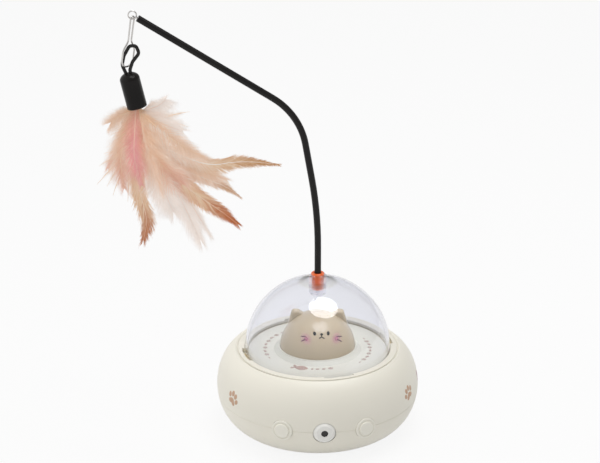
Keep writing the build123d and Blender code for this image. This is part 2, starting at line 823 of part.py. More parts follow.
with BuildPart() as deck_screws:
    with BuildSketch(Plane.XY.offset(web_bottom)):
        with PolarLocations(deck_screw_ring_r, 3, start_angle=30):
            Circle(deck_screw_r)
    extrude(amount=web_t + deck_screw_bite)
    with BuildSketch(Plane.XY.offset(web_bottom)):
        with PolarLocations(deck_screw_ring_r, 3, start_angle=30):
            Circle(deck_screw_head_r)
    extrude(amount=-deck_screw_head_h)
write_part(deck_screws, "deck_screws")


def cat_section(inset, foot):
    """Half section of the cat's head, inset from its face."""
    with BuildSketch() as section:
        radius = cat_ball_r - inset
        start = degrees(asin((foot - cat_centre_z) / radius))
        with BuildLine():
            crown = CenterArc((0, cat_centre_z), radius, start, 90 - start)
            Line(crown @ 0, (0, foot))
            Line((0, foot), crown @ 1)
        make_face()
    return section.sketch


def outside_cat(edge):
    """Whether the middle of an edge lies outside the head's ball."""
    centre = edge.center()
    return centre.X**2 + (centre.Z - cat_centre_z) ** 2 > cat_ball_r**2


ears = []
for side in (-1, 1):
    with BuildPart() as ear:
        with BuildSketch(Plane.XZ.offset(-ear_front_y - ear_t)):
            with BuildLine():
                FilletPolyline(
                    *[(side * x, cat_foot_z + rise) for x, rise in ear_corners],
                    radius=[0, ear_tip_r, ear_tip_r, 0, 0],
                    close=True,
                )
            make_face()
        extrude(amount=ear_t)
        fillet(ear.edges().filter_by(Plane.XZ).filter_by(outside_cat), ear_round)
    ears.append(ear.part)

with BuildPart() as cat_head:
    with BuildSketch(Plane.XZ):
        add(cat_section(0, cat_seat_z))
        add(cat_section(cat_wall, cat_seat_z - 1), mode=Mode.SUBTRACT)
    revolve(axis=Axis.Z)
    for ear_solid in ears:
        add(ear_solid.rotate(Axis.Z, cat_turn))
write_part(cat_head, "cat_head")

# ---------------------------------------------------------------------------- dome and wand socket
with BuildPart() as dome_cover:
    skirt_foot = dome_centre_z - dome_skirt
    sphere_at_flare = dome_centre_z + sqrt(dome_r**2 - flare_r**2)
    with BuildSketch(Plane.XZ):
        with BuildLine():
            outside = CenterArc((0, dome_centre_z), dome_r, 0, 90)
            Line((dome_r, dome_centre_z), (dome_r, skirt_foot))
            Line((dome_r, skirt_foot), (0, skirt_foot))
            Line((0, skirt_foot), (0, dome_top_z))
        make_face()
        # flared collar on top
        with BuildLine():
            Polyline(
                (0, sphere_at_flare - 1),
                (flare_r - 0.3, sphere_at_flare - 1),
                (flare_r, sphere_at_flare + 0.1),
                (collar_r + 0.5, sphere_at_flare + 1.3),
                (collar_r, sphere_at_flare + 2.2),
                (collar_r, collar_top - 1.0),
                (collar_r - 0.5, collar_top - 0.25),
                (collar_r - 1.1, collar_top),
                (0, collar_top),
                close=True,
            )
        make_face()
        with BuildLine():
            CenterArc((0, dome_centre_z), dome_inner_r, 0, 90)
            Line((dome_inner_r, dome_centre_z), (dome_inner_r, skirt_foot - 1))
            Line((dome_inner_r, skirt_foot - 1), (0, skirt_foot - 1))
            Line((0, skirt_foot - 1), (0, dome_centre_z + dome_inner_r))
        make_face(mode=Mode.SUBTRACT)
        # inner cup and its bore
        with BuildLine():
            FilletPolyline(
                (0, cup_bottom),
                (cup_r, cup_bottom),
                (cup_r, dome_top_z - dome_wall / 2),
                (0, dome_top_z - dome_wall / 2),
                radius=[0, 1.6, 0, 0],
                close=True,
            )
        make_face()
        with Locations(((socket_r + slide_gap) / 2, (cup_bottom + cup_floor + collar_top) / 2)):
            Rectangle(socket_r + slide_gap, collar_top - cup_bottom - cup_floor, mode=Mode.SUBTRACT)
    revolve(axis=Axis.Z)
    # bayonet lugs on the skirt
    with BuildSketch(Plane.XY.offset(groove_bottom + part_gap)):
        for index in range(lug_count):
            middle = lug_azimuth + index * 360 / lug_count - 90
            with BuildLine():
                outer = CenterArc((0, 0), dome_r + lug_reach, middle - lug_span / 2, lug_span)
                inner = CenterArc((0, 0), dome_r - 0.5, middle - lug_span / 2, lug_span)
                Line(outer @ 0, inner @ 0)
                Line(outer @ 1, inner @ 1)
            make_face()
    extrude(amount=lug_h)
write_part(dome_cover, "dome_cover")

with BuildPart() as wand_socket:
    with BuildSketch(Plane.XZ):
        with BuildLine():
            Polyline(
                (0, socket_bottom),
                (socket_r - 0.5, socket_bottom),
                (socket_r, socket_bottom + 0.5),
                (socket_r, collar_top + slide_gap),
                (socket_flange_r, collar_top + slide_gap),
                (socket_flange_r, socket_top - 0.4),
                (socket_flange_r - 0.4, socket_top),
                (socket_bore_r + 0.4, socket_top),
                (socket_bore_r, socket_top - 0.4),
                (socket_bore_r, socket_floor_z),
                (0, socket_floor_z),
                close=True,
            )
        make_face()
    revolve(axis=Axis.Z)
write_part(wand_socket, "wand_socket")

# ---------------------------------------------------------------------------- wand
wand_points = [(0, wand_foot_z)]
wand_points += [(x, wand_foot_z + rise) for x, rise in wand_corners]
wand_points += [(wand_tip[0], wand_foot_z + wand_tip[1])]
last_corner = wand_points[-2]
tip_x, tip_z = wand_points[-1]
tip_run = sqrt((tip_x - last_corner[0]) ** 2 + (tip_z - last_corner[1]) ** 2)
tip_dir = ((tip_x - last_corner[0]) / tip_run, (tip_z - last_corner[1]) / tip_run)
eye_x = tip_x + tip_dir[0] * (eye_neck + eye_ring_r)
eye_z = tip_z + tip_dir[1] * (eye_neck + eye_ring_r)

with BuildPart() as wand_sleeve:
    with BuildLine(Plane.XZ) as sleeve_line:
        FilletPolyline(*wand_points, radius=wand_bend_radii)
    with BuildSketch(Plane(origin=sleeve_line.line @ 0, z_dir=sleeve_line.line % 0)):
        Circle(wand_r)
        Circle(core_r, mode=Mode.SUBTRACT)
    sweep(path=sleeve_line.line)
write_part(wand_sleeve, "wand_sleeve")

with BuildPart() as wand_core:
    with BuildLine(Plane.XZ) as core_line:
        core_end = (tip_x + tip_dir[0] * eye_neck, tip_z + tip_dir[1] * eye_neck)
        FilletPolyline(*wand_points[:-1], core_end, radius=wand_bend_radii)
    with BuildSketch(Plane(origin=core_line.line @ 0, z_dir=core_line.line % 0)):
        Circle(core_r)
    sweep(path=core_line.line)
    with BuildSketch(Plane(origin=(eye_x + eye_ring_r, 0, eye_z), x_dir=(1, 0, 0), z_dir=(0, 0, 1))):
        Circle(eye_wire_r)
    revolve(axis=Axis((eye_x, 0, eye_z), (0, 1, 0)))
write_part(wand_core, "wand_core")

# ---------------------------------------------------------------------------- wire pin
eye_low_z = eye_z - eye_ring_r
lean = radians(pin_lean)
turn = radians(pin_turn)
pin_down = (-sin(lean), 0, -cos(lean))
pin_side = (cos(turn), sin(turn), 0)
pin_plane = Plane(
    origin=(eye_x, 0, eye_low_z),
    x_dir=Vector(*pin_side) - Vector(*pin_down) * Vector(*pin_side).dot(Vector(*pin_down)),
    z_dir=Vector(*pin_side).cross(Vector(*pin_down)),
)
pin_foot = pin_neck_length + pin_bulb_length
with BuildPart() as wire_pin:
    with BuildLine(pin_plane) as pin_line:
        FilletPolyline(
            (pin_head_r, -pin_head_r),
            (pin_head_r - 0.2, pin_neck_length),
            (pin_bulb_half, pin_neck_length + 5.0),
            (pin_bulb_half, pin_foot),
            (-pin_bulb_half, pin_foot),
            (-pin_bulb_half, pin_neck_length + 5.0),
            (-pin_head_r + 0.2, pin_neck_length),
            (-pin_head_r, -pin_head_r),
            radius=[pin_head_r - 0.05, 4.0, 4.0, 4.6, 4.6, 4.0, 4.0, pin_head_r - 0.05],
            close=True,
        )
    with BuildSketch(Plane(origin=pin_line.line @ 0, z_dir=pin_line.line % 0)):
        Circle(pin_wire_r)
    sweep(path=pin_line.line)
write_part(wire_pin, "wire_pin")
pin_foot_point = pin_plane.from_local_coords(Vector(0, pin_foot, 0))
print("pin foot", pin_foot_point)

# ---------------------------------------------------------------------------- lure
cap_turn = radians(cap_lean)
cap_down = Vector(sin(cap_turn), 0, -cos(cap_turn))
cap_side = Vector(cos(cap_turn), 0, sin(cap_turn))
cap_top = pin_foot_point + Vector(cap_shift, -pin_foot_point.Y, -cap_drop)
cap_plane = Plane(origin=cap_top, x_dir=cap_side, z_dir=cap_side.cross(cap_down))

with BuildPart() as lure_cap:
    with BuildSketch(cap_plane):
        with BuildLine():
            crown = EllipticalCenterArc((0, 4.0), cap_r, 4.0, start_angle=270, arc_size=90)
            Line(crown @ 1, (cap_r, cap_length))
            Line((cap_r, cap_length), (cap_r - cap_wall, cap_length))
            Line((cap_r - cap_wall, cap_length), (cap_r - cap_wall, 8))
            Line((cap_r - cap_wall, 8), (0, 8))
            Line((0, 8), crown @ 0)
        make_face()
    revolve(axis=Axis(cap_top, cap_down))
    for side in (-1, 1):
        with BuildSketch(Plane(origin=cap_top + cap_side * side * cord_spread, z_dir=cap_down)):
            Circle(lure_cord_r)
        extrude(amount=cord_bite, mode=Mode.SUBTRACT)
write_part(lure_cap, "lure_cap")

with BuildPart() as lure_cord:
    with BuildLine(cap_plane) as cord_line:
        FilletPolyline(
            (-cord_spread, cord_bite),
            (-cord_spread, -0.6),
            (-2.2, -5.0),
            (0.2, -10.2),
            (4.6, -15.0),
            (8.2, -14.4),
            (8.9, -9.6),
            (4.0, -5.6),
            (cord_spread, -1.2),
            (cord_spread, cord_bite),
            radius=[4.0, 5.0, 6.0, 2.2, 2.2, 2.8, 5.0, 3.0],
        )
    with BuildSketch(Plane(origin=cord_line.line @ 0, z_dir=cord_line.line % 0)):
        Circle(lure_cord_r)
    sweep(path=cord_line.line)
write_part(lure_cord, "lure_cord")

# Feathers: a spindle of fluff under the cap, and flat leaf-shaped feathers round it
cap_foot = cap_top + cap_down * cap_length
fluff_turn = radians(fluff_lean)
fluff_down = Vector(sin(fluff_turn), 0, -cos(fluff_turn))
fluff_side = Vector(cos(fluff_turn), 0, sin(fluff_turn))
fluff_top = cap_foot + cap_down * part_gap


def fluff_section(grow):
    """Half section of the fluff bunch, in a frame whose Y runs down its axis."""
    with BuildSketch() as section:
        with BuildLine():
            edge = ThreePointArc(
                (3.4 + grow, -grow),
                (fluff_r + grow, fluff_length * 0.45),
                (4.0 + grow, fluff_length + grow),
            )
            Line(edge @ 1, (0, fluff_length + grow))
            Line((0, fluff_length + grow), (0, -grow))
            Line((0, -grow), edge @ 0)
        make_face()
    return section.sketch


fluff_plane = Plane(origin=fluff_top, x_dir=fluff_side, z_dir=fluff_side.cross(fluff_down))
with BuildPart() as feather_fluff:
    with BuildSketch(fluff_plane):
        add(fluff_section(0))
    revolve(axis=Axis(fluff_top, fluff_down))
    with BuildSketch(Plane(origin=cap_foot, z_dir=cap_down)):
        Rectangle(60, 60)
    extrude(amount=-8, mode=Mode.SUBTRACT)
write_part(feather_fluff, "feather_fluff")

with BuildPart() as fluff_space:
    with BuildSketch(fluff_plane):
        add(fluff_section(part_gap))
    revolve(axis=Axis(fluff_top, fluff_down))

# name, then root, middle and tip as x and z from the cap's foot, half width, layer (y)
feathers = [
    ("feather_tan", (19.2, -30.5), (48.2, -36.0), (83.0, -37.0), 3.4, -2.0),
    ("feather_brown", (15.2, -36.5), (39.2, -54.5), (58.5, -74.3), 4.6, 1.5),
    ("feather_small_brown", (19.2, -34.5), (41.2, -45.5), (58.7, -57.7), 3.6, 4.5),
    ("feather_white_long", (17.2, -44.5), (29.2, -64.5), (35.5, -87.7), 5.2, -5.0),
    ("feather_white_short", (19.2, -42.5), (31.2, -64.5), (42.2, -84.0), 4.2, -8.0),
    ("feather_left", (5.2, -37.5), (-0.8, -61.5), (-0.3, -84.8), 4.6, 3.5),
    ("feather_side", (1.2, -17.5), (-12.8, -30.5), (-24.0, -43.2), 6.0, -3.0),
    ("feather_back", (3.2, -16.5), (-9.8, -10.5), (-16.8, -4.4), 6.0, 4.5),
    ("feather_upper", (9.2, -12.5), (21.2, -2.5), (32.8, 0.8), 7.0, 1.0),
    ("feather_right", (17.2, -22.5), (31.2, -24.5), (45.0, -29.1), 7.0, 5.5),
]


def write_feather(name, root, middle, tip, half_width, layer):
    """Thin leaf from the fluff bunch to a tip, in its own layer."""
    along = Vector(tip[0] - root[0], tip[1] - root[1])
    across = Vector(-along.Y, along.X).normalized() * half_width
    left = (middle[0] + across.X, middle[1] + across.Y)
    right = (middle[0] - across.X, middle[1] - across.Y)
    with BuildPart() as feather:
        with BuildSketch(Plane(cap_foot + Vector(0, layer + feather_t / 2, 0), (1, 0, 0), (0, -1, 0))):
            with BuildLine():
                ThreePointArc(root, left, tip)
                ThreePointArc(root, right, tip)
            make_face()
        extrude(amount=feather_t)
        add(fluff_space.part, mode=Mode.SUBTRACT)
        if len(feather.solids()) > 1:
            biggest = feather.solids().sort_by(SortBy.VOLUME)[-1]
            add(biggest, mode=Mode.REPLACE)
    write_part(feather, name)


for feather_row in feathers:
    write_feather(*feather_row)

# ---------------------------------------------------------------------------- buttons
def write_button(name, azimuth):
    """Push button: a crowned cap, a flange behind the shell and a stem."""
    plane = radial_plane(azimuth)
    with BuildPart() as button:
        with BuildSketch(plane.offset(flange_face_r - button_flange_t)):
            Circle(button_flange_r)
        extrude(amount=button_flange_t)
        with BuildSketch(plane.offset(flange_face_r)):
            Circle(button_r)
        extrude(amount=button_face_r - flange_face_r)
        fillet(button.faces().sort_by(Axis((0, 0, 0), plane.z_dir))[-1].edges(), button_edge_round)
        with BuildSketch(plane.offset(button_face_r - button_valley_h)):
            Circle(button_crown_r + button_valley_w)
        extrude(amount=button_valley_h, mode=Mode.SUBTRACT)
        with BuildSketch(plane.offset(button_face_r - button_valley_h)):
            Circle(button_crown_r)
        extrude(amount=button_crown + button_valley_h)
        fillet(button.faces().sort_by(Axis((0, 0, 0), plane.z_dir))[-1].edges(), button_crown_round)
        with BuildSketch(plane.offset(stem_tip_r)):
            Circle(button_stem_r)
        extrude(amount=button_stem_length + 0.1)
    write_part(button, name)


write_button("power_button", -button_azimuth)
write_button("mode_button", button_azimuth)

with BuildPart() as switch_boards:
    for azimuth in (-button_azimuth, button_azimuth):
        with BuildSketch(radial_plane(azimuth).offset(switch_board_r - board_t)):
            Rectangle(switch_board_w, switch_board_h)
        extrude(amount=board_t)
write_part(switch_boards, "switch_boards")

with BuildPart() as tact_switches:
    for azimuth in (-button_azimuth, button_azimuth):
        with BuildSketch(radial_plane(azimuth).offset(switch_board_r)):
            Rectangle(switch_body, switch_body)
        extrude(amount=switch_body_t)
        with BuildSketch(radial_plane(azimuth).offset(switch_face_r)):
            Circle(plunger_r)
        extrude(amount=plunger_h)
write_part(tact_switches, "tact_switches")

# ---------------------------------------------------------------------------- laser eye
eye_plane = radial_plane(0).offset(eye_pivot_r)
window_front = eye_face - 0.7

with BuildPart() as laser_eye:
    with Locations((0, -eye_pivot_r, split_z)):
        Sphere(eye_ball_r)
    with BuildSketch(eye_plane.offset(eye_face)):
        Rectangle(30, 30)
    extrude(amount=10, mode=Mode.SUBTRACT)
    with BuildSketch(eye_plane.offset(-eye_back)):
        Rectangle(30, 30)
    extrude(amount=-10, mode=Mode.SUBTRACT)
    fillet(laser_eye.faces().sort_by(Axis.Y)[0].edges(), eye_face_round)
    with BuildSketch(eye_plane):
        Circle(eye_tail_r)
    extrude(amount=-eye_tail)
    with BuildSketch(eye_plane.offset(-eye_tail)):
        with Locations((0, eye_tail_r - 1)):
            Rectangle(6, 2)
    extrude(amount=5)
    with BuildSketch(eye_plane.offset(eye_face - aperture_depth)):
        Circle(aperture_r)
    extrude(amount=aperture_depth + 1, mode=Mode.SUBTRACT)
    with BuildSketch(eye_plane.offset(eye_face - aperture_depth)):
        Circle(module_r)
    extrude(amount=-eye_face - eye_tail + aperture_depth, mode=Mode.SUBTRACT)
    for sign in (-1, 1):
        with BuildSketch(Plane.XY.offset(split_z + sign * (eye_ball_r - pivot_pin_depth - seat_gap))):
            with Locations((0, -eye_pivot_r)):
                Circle(pivot_pin_r + slide_gap)
        extrude(amount=sign * (pivot_pin_depth + 2), mode=Mode.SUBTRACT)
write_part(laser_eye, "laser_eye")

with BuildPart() as laser_window:
    with BuildSketch(eye_plane.offset(window_front - window_t)):
        Circle(aperture_r)
    extrude(amount=window_t)
write_part(laser_window, "laser_window")

with BuildPart() as laser_module:
    with BuildSketch(eye_plane.offset(eye_face - aperture_depth)):
        Circle(module_r)
    extrude(amount=-eye_face - eye_tail + aperture_depth - module_tail)
write_part(laser_module, "laser_module")

with BuildPart() as pivot_pins:
    for sign in (-1, 1):
        low = eye_ball_r - pivot_pin_depth
        with BuildSketch(Plane.XY.offset(split_z + sign * low)):
            with Locations((0, -eye_pivot_r)):
                Circle(pivot_pin_r)
        extrude(amount=sign * (laser_collar_r - low - 0.2))
write_part(pivot_pins, "pivot_pins")

with BuildPart() as laser_sector:
    with BuildSketch(Plane.XY.offset(sector_z)):
        with Locations((0, -eye_pivot_r)):
            add(gear_sketch(sector_teeth, sector_module, first_tooth=90, backlash=0.1))
        reach = sector_pitch_r + 3
        spread = radians(sector_half_angle)
        with BuildLine():
            Polyline(
                (-1.5, -eye_pivot_r + 5.5),
                (-reach * sin(spread), -eye_pivot_r + reach * cos(spread)),
                (reach * sin(spread), -eye_pivot_r + reach * cos(spread)),
                (1.5, -eye_pivot_r + 5.5),
                close=True,
            )
        make_face(mode=Mode.INTERSECT)
    extrude(amount=sector_t)
write_part(laser_sector, "laser_sector")

with BuildPart() as laser_pinion:
    with BuildSketch(Plane.XY.offset(sector_z - 0.4)):
        with Locations((0, laser_pinion_y)):
            half_step = 180 / laser_pinion_teeth
            add(gear_sketch(laser_pinion_teeth, sector_module, first_tooth=half_step, backlash=0.1))
            Circle(laser_shaft_r, mode=Mode.SUBTRACT)
    extrude(amount=sector_t + 0.7)
write_part(laser_pinion, "laser_pinion")

with BuildPart() as laser_shaft:
    with BuildSketch(Plane.XY.offset(laser_motor_top - 5)):
        with Locations((0, laser_pinion_y)):
            Circle(laser_shaft_r)
    extrude(amount=sector_z + sector_t + 0.3 - laser_motor_top + 5)
write_part(laser_shaft, "laser_shaft")

with BuildPart() as laser_motor:
    with BuildSketch(Plane.XY.offset(laser_motor_top)):
        with Locations((0, laser_pinion_y)):
            Circle(laser_motor_r)
    extrude(amount=-laser_motor_length)
    with BuildSketch(Plane.XY.offset(laser_motor_top - 5)):
        with Locations((0, laser_pinion_y)):
            Circle(laser_shaft_r + slide_gap)
    extrude(amount=5, mode=Mode.SUBTRACT)
write_part(laser_motor, "laser_motor")

# ---------------------------------------------------------------------------- electrics
with BuildPart() as battery:
    with BuildSketch(Plane.YZ.offset(battery_x - battery_length / 2)):
        with Locations((0, floor_z + battery_lift + battery_r)):
            Circle(battery_r)
    extrude(amount=battery_length)
    chamfer(battery.faces().sort_by(Axis.X)[-1].edges(), 0.6)
write_part(battery, "battery")

with BuildPart() as main_board:
    with BuildSketch(Plane.XY.offset(floor_z + main_board_lift)) as board_face:
        with Locations((0, (main_board_y + main_board_back) / 2)):
            Rectangle(main_board_w, main_board_back - main_board_y)
        chamfer(board_face.vertices().group_by(Axis.Y)[-1], main_board_corner)
    extrude(amount=board_t)
write_part(main_board, "main_board")

with BuildPart() as usb_port:
    usb_face = usb_r - 0.9
    with BuildSketch(Plane.XZ.offset(-usb_face)):
        with Locations((0, board_top + usb_h / 2)):
            SlotOverall(usb_w, usb_h)
            SlotOverall(usb_w - 0.8, usb_h - 0.8, mode=Mode.SUBTRACT)
    extrude(amount=usb_length)
    with BuildSketch(Plane.XZ.offset(-usb_face + usb_length - 1)):
        with Locations((0, board_top + usb_h / 2)):
            SlotOverall(usb_w - 0.4, usb_h - 0.4)
    extrude(amount=1)
    with BuildSketch(Plane.XZ.offset(-usb_face + 1)):
        with Locations((0, board_top + usb_h / 2)):
            Rectangle(6.5, 0.7)
    extrude(amount=usb_length - 1.5)
write_part(usb_port, "usb_port")

print("widest", belly_r * 2, "crest", crest_z, "dome top", dome_top_z, "eye", eye_x, eye_z)
print("eye pivot", eye_pivot_r, "laser pinion y", laser_pinion_y, "pinion", pinion_x, pinion_y)
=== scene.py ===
# %% [markdown]
# # An automatic cat laser toy
# A round cream base holds a battery, a gear motor and a laser eye that pans from side to side. A turntable in
# its top carries a clear dome over a cat head, and a bent wand hangs a feather lure in front of a cat.
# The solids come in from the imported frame. Each step below gives them a finish, or adds what a solid can't
# show: the barbs of the feathers and the printed marks.

# %% Load the frame
from math import atan2, cos, degrees, pi, radians, sin, sqrt

import bpy
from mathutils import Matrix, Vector


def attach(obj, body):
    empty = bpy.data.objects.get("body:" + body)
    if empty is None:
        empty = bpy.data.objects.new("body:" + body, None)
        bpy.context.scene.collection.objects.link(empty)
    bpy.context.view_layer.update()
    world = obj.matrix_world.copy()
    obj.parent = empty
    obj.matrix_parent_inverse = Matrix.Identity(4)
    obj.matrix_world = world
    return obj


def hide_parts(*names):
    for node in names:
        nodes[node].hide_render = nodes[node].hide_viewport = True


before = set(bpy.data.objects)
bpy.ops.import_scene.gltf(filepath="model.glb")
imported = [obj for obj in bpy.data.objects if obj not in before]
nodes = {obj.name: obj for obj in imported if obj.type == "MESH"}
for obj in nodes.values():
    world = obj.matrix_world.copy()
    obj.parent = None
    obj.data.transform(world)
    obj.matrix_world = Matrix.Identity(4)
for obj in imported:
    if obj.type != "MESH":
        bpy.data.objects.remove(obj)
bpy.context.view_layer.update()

MM = 0.001

# %% [markdown]
# ## The camera
# The toy is seen from about 1.3 m with a long lens, a little from the left and from above, so that the rim of
# the base is an open ellipse and the wand leans across the picture.

# %% Camera
def add_object(name, data):
    """Put a new object in the scene."""
    thing = bpy.data.objects.new(name, data)
    bpy.context.scene.collection.objects.link(thing)
    return thing


camera_place = Vector((-82.2, -1175.3, 589.4)) * MM
camera_aim = Vector((-10.5, 0.0, 123.9)) * MM
camera_data = bpy.data.cameras.new("studio_camera")
camera_data.lens = 130.0
camera_data.sensor_width = 36.0
camera_data.sensor_fit = "HORIZONTAL"
camera_data.clip_start = 0.05
camera = add_object("studio_camera", camera_data)
camera.location = camera_place
camera.rotation_euler = (camera_aim - camera_place).to_track_quat("-Z", "Y").to_euler()
bpy.context.scene.camera = camera
print("camera distance:", round((camera_aim - camera_place).length, 3), "m")

# %% [markdown]
# ## Helpers for shader trees
# A tree is easier to read when each node is made and wired in one call. `wire` sets an input to a value, or
# links it when it is given a socket.


# %% Shader helpers
def wire(tree, socket, value):
    """Link a socket to another, or set it to a value."""
    if isinstance(value, bpy.types.NodeSocket):
        tree.links.new(value, socket)
    else:
        socket.default_value = value


def add_node(tree, kind, inputs=None, **settings):
    """Make a node, apply its settings, and set or link its inputs."""
    node = tree.nodes.new(kind)
    for name, value in settings.items():
        setattr(node, name, value)
    for name, value in (inputs or {}).items():
        wire(tree, node.inputs[name], value)
    return node


def new_group(name, kind, inputs, outputs):
    """Make a node group with named sockets; each input is (name, type, default) and each output (name, type)."""
    group = bpy.data.node_groups.new(name, kind)
    for label, socket_type, default in inputs:
        socket = group.interface.new_socket(label, in_out="INPUT", socket_type="NodeSocket" + socket_type)
        if default is not None:
            socket.default_value = default
    for label, socket_type in outputs:
        group.interface.new_socket(label, in_out="OUTPUT", socket_type="NodeSocket" + socket_type)
    return group, group.nodes.new("NodeGroupInput"), group.nodes.new("NodeGroupOutput")


def linear(red, green, blue):
    """A colour picked on a screen, 0 to 255, as the linear values that a shader wants (the sRGB formula)."""
    def channel(value):
        value /= 255
        return value / 12.92 if value <= 0.04045 else ((value + 0.055) / 1.055) ** 2.4
    return (channel(red), channel(green), channel(blue), 1.0)


def mix_colours(tree, factor, first, second, blend="MIX"):
    """Mix two colours and return the result's socket."""
    node = add_node(tree, "ShaderNodeMix", data_type="RGBA", blend_type=blend)
    # a colour mix has its factor on input 0, its colours on 6 and 7, and its result on output 2
    for index, value in ((0, factor), (6, first), (7, second)):
        wire(tree, node.inputs[index], value)
    return node.outputs[2]


def maths(tree, operation, first, second=None, clamp=False):
    """One Math node; returns its socket."""
    node = add_node(tree, "ShaderNodeMath", operation=operation, use_clamp=clamp)
    wire(tree, node.inputs[0], first)
    if second is not None:
        wire(tree, node.inputs[1], second)
    return node.outputs[0]


def times(tree, first, second, clamp=False):
    """The product of two values."""
    return maths(tree, "MULTIPLY", first, second, clamp)


def noise(tree, place, scale, detail):
    """A Noise Texture node; its scale is in ripples per metre."""
    return add_node(tree, "ShaderNodeTexNoise", {"Vector": place, "Scale": scale, "Detail": detail})


# %% [markdown]
# ## Effects that several finishes share
# Injection-moulded plastic is never quite even: the colour drifts a little over a few centimetres, and the
# spark-eroded mould leaves a grain of a few tenths of a millimetre. Both come from noise in object
# coordinates, so they stay put on the part from every side.

# %% Group: moulded skin
SKIN_OUTPUTS = [("Colour", "Color"), ("Roughness", "Float"), ("Normal", "Vector")]


def end_skin(group, outside, *values):
    """Wire a colour, a roughness and a normal to a group's outputs."""
    for (label, _), value in zip(SKIN_OUTPUTS, values):
        wire(group, outside.inputs[label], value)


def build_moulded_skin():
    drift_tone = (0.25, 0.22, 0.17, 1)
    grain_height = 0.00004  # metres
    group, inside, outside = new_group(
        "moulded skin",
        "ShaderNodeTree",
        [
            ("Colour", "Color", (0.8, 0.8, 0.8, 1)),
            ("Drift", "Float", 0.05),
            ("Roughness", "Float", 0.4),
            ("Smudge", "Float", 0.06),
            ("Grain Size", "Float", 3000.0),
            ("Grain Depth", "Float", 0.15),
        ],
        SKIN_OUTPUTS,
    )
    place = add_node(group, "ShaderNodeTexCoord").outputs["Object"]
    drift = noise(group, place, 38.0, 2.0)
    # the colour darkens towards a brown tone where the drift noise is high
    drift_share = times(group, drift.outputs[0], inside.outputs["Drift"])
    shade = mix_colours(group, drift_share, inside.outputs["Colour"], drift_tone)
    smudge = noise(group, place, 120.0, 4.0)
    spread = times(group, maths(group, "SUBTRACT", smudge.outputs[0], 0.5), inside.outputs["Smudge"])
    rough = maths(group, "ADD", inside.outputs["Roughness"], spread, clamp=True)
    grain = noise(group, place, inside.outputs["Grain Size"], 1.0)
    bump = add_node(
        group,
        "ShaderNodeBump",
        {"Strength": inside.outputs["Grain Depth"], "Distance": grain_height, "Height": grain.outputs[0]},
    )
    end_skin(group, outside, shade, rough, bump.outputs[0])
    return group


moulded_skin = build_moulded_skin()

# %% [markdown]
# Drawn and turned metal shows fine lines along one direction. Noise that is stretched along that direction
# gives the lines, and they vary the roughness more than the colour.


# %% Group: drawn metal
def build_drawn_metal():
    tarnish_colour, tarnish_cover = (0.12, 0.11, 0.10, 1), 0.35
    line_height, line_roughness = 0.00002, 0.18  # the height in metres
    group, inside, outside = new_group(
        "drawn metal",
        "ShaderNodeTree",
        [
            ("Colour", "Color", (0.6, 0.6, 0.6, 1)),
            ("Roughness", "Float", 0.3),
            ("Line Stretch", "Vector", (1.0, 1.0, 0.04)),
            ("Line Size", "Float", 6000.0),
        ],
        SKIN_OUTPUTS,
    )
    place = add_node(group, "ShaderNodeTexCoord").outputs["Object"]
    stretched = add_node(group, "ShaderNodeVectorMath", operation="MULTIPLY")
    wire(group, stretched.inputs[0], place)
    wire(group, stretched.inputs[1], inside.outputs["Line Stretch"])
    lines = noise(group, stretched.outputs[0], inside.outputs["Line Size"], 3.0)
    tarnish = noise(group, place, 260.0, 3.0)
    dark = times(group, tarnish.outputs[0], tarnish_cover)
    shade = mix_colours(group, dark, inside.outputs["Colour"], tarnish_colour)
    spread = times(group, lines.outputs[0], line_roughness)
    rough = maths(group, "ADD", inside.outputs["Roughness"], spread)
    bump = add_node(group, "ShaderNodeBump", {"Strength": 0.1, "Distance": line_height, "Height": lines.outputs[0]})
    end_skin(group, outside, shade, rough, bump.outputs[0])
    return group


drawn_metal = build_drawn_metal()

# %% [markdown]
# A feather's colour changes along its quill and out along each barb. The feather tree further down stores both
# as attributes on its mesh: `run` goes from the quill's root to its tip, and `out` from the quill to the end
# of a barb. This group turns them into a colour, with streaks so that neighbouring barbs differ.


# %% Group: plumage
def build_plumage():
    jitter = 0.2  # how far a barb's own shift moves it along the colours
    root_fade = 2.2  # the root's colour is gone at 1 / root_fade of the quill
    tip_from, tip_to = 0.5, 0.8
    ends_power = 1.5
    group, inside, outside = new_group(
        "plumage",
        "ShaderNodeTree",
        [
            ("Root", "Color", (0.8, 0.6, 0.5, 1)),
            ("Middle", "Color", (0.8, 0.6, 0.5, 1)),
            ("Tip", "Color", (0.5, 0.3, 0.2, 1)),
            ("Ends", "Color", (0.9, 0.85, 0.8, 1)),
            ("Pale Ends", "Float", 0.5),
            ("Streaks", "Float", 0.35),
        ],
        [("Colour", "Color")],
    )
    run, out, shift = (
        add_node(group, "ShaderNodeAttribute", attribute_name=stored).outputs["Fac"]
        for stored in ("run", "out", "shift")
    )
    uneven = maths(group, "ADD", run, times(group, maths(group, "SUBTRACT", shift, 0.5), jitter))
    low = times(group, uneven, root_fade, clamp=True)
    high = add_node(group, "ShaderNodeMapRange", {"Value": uneven, "From Min": tip_from, "From Max": tip_to})
    body = mix_colours(group, low, inside.outputs["Root"], inside.outputs["Middle"])
    body = mix_colours(group, high.outputs[0], body, inside.outputs["Tip"])
    pale = times(group, maths(group, "POWER", out, ends_power), inside.outputs["Pale Ends"])
    body = mix_colours(group, pale, body, inside.outputs["Ends"])
    streak = times(group, shift, inside.outputs["Streaks"])
    body = mix_colours(group, streak, body, mix_colours(group, 1.0, body, body, "MULTIPLY"))
    wire(group, outside.inputs["Colour"], body)
    return group


plumage = build_plumage()
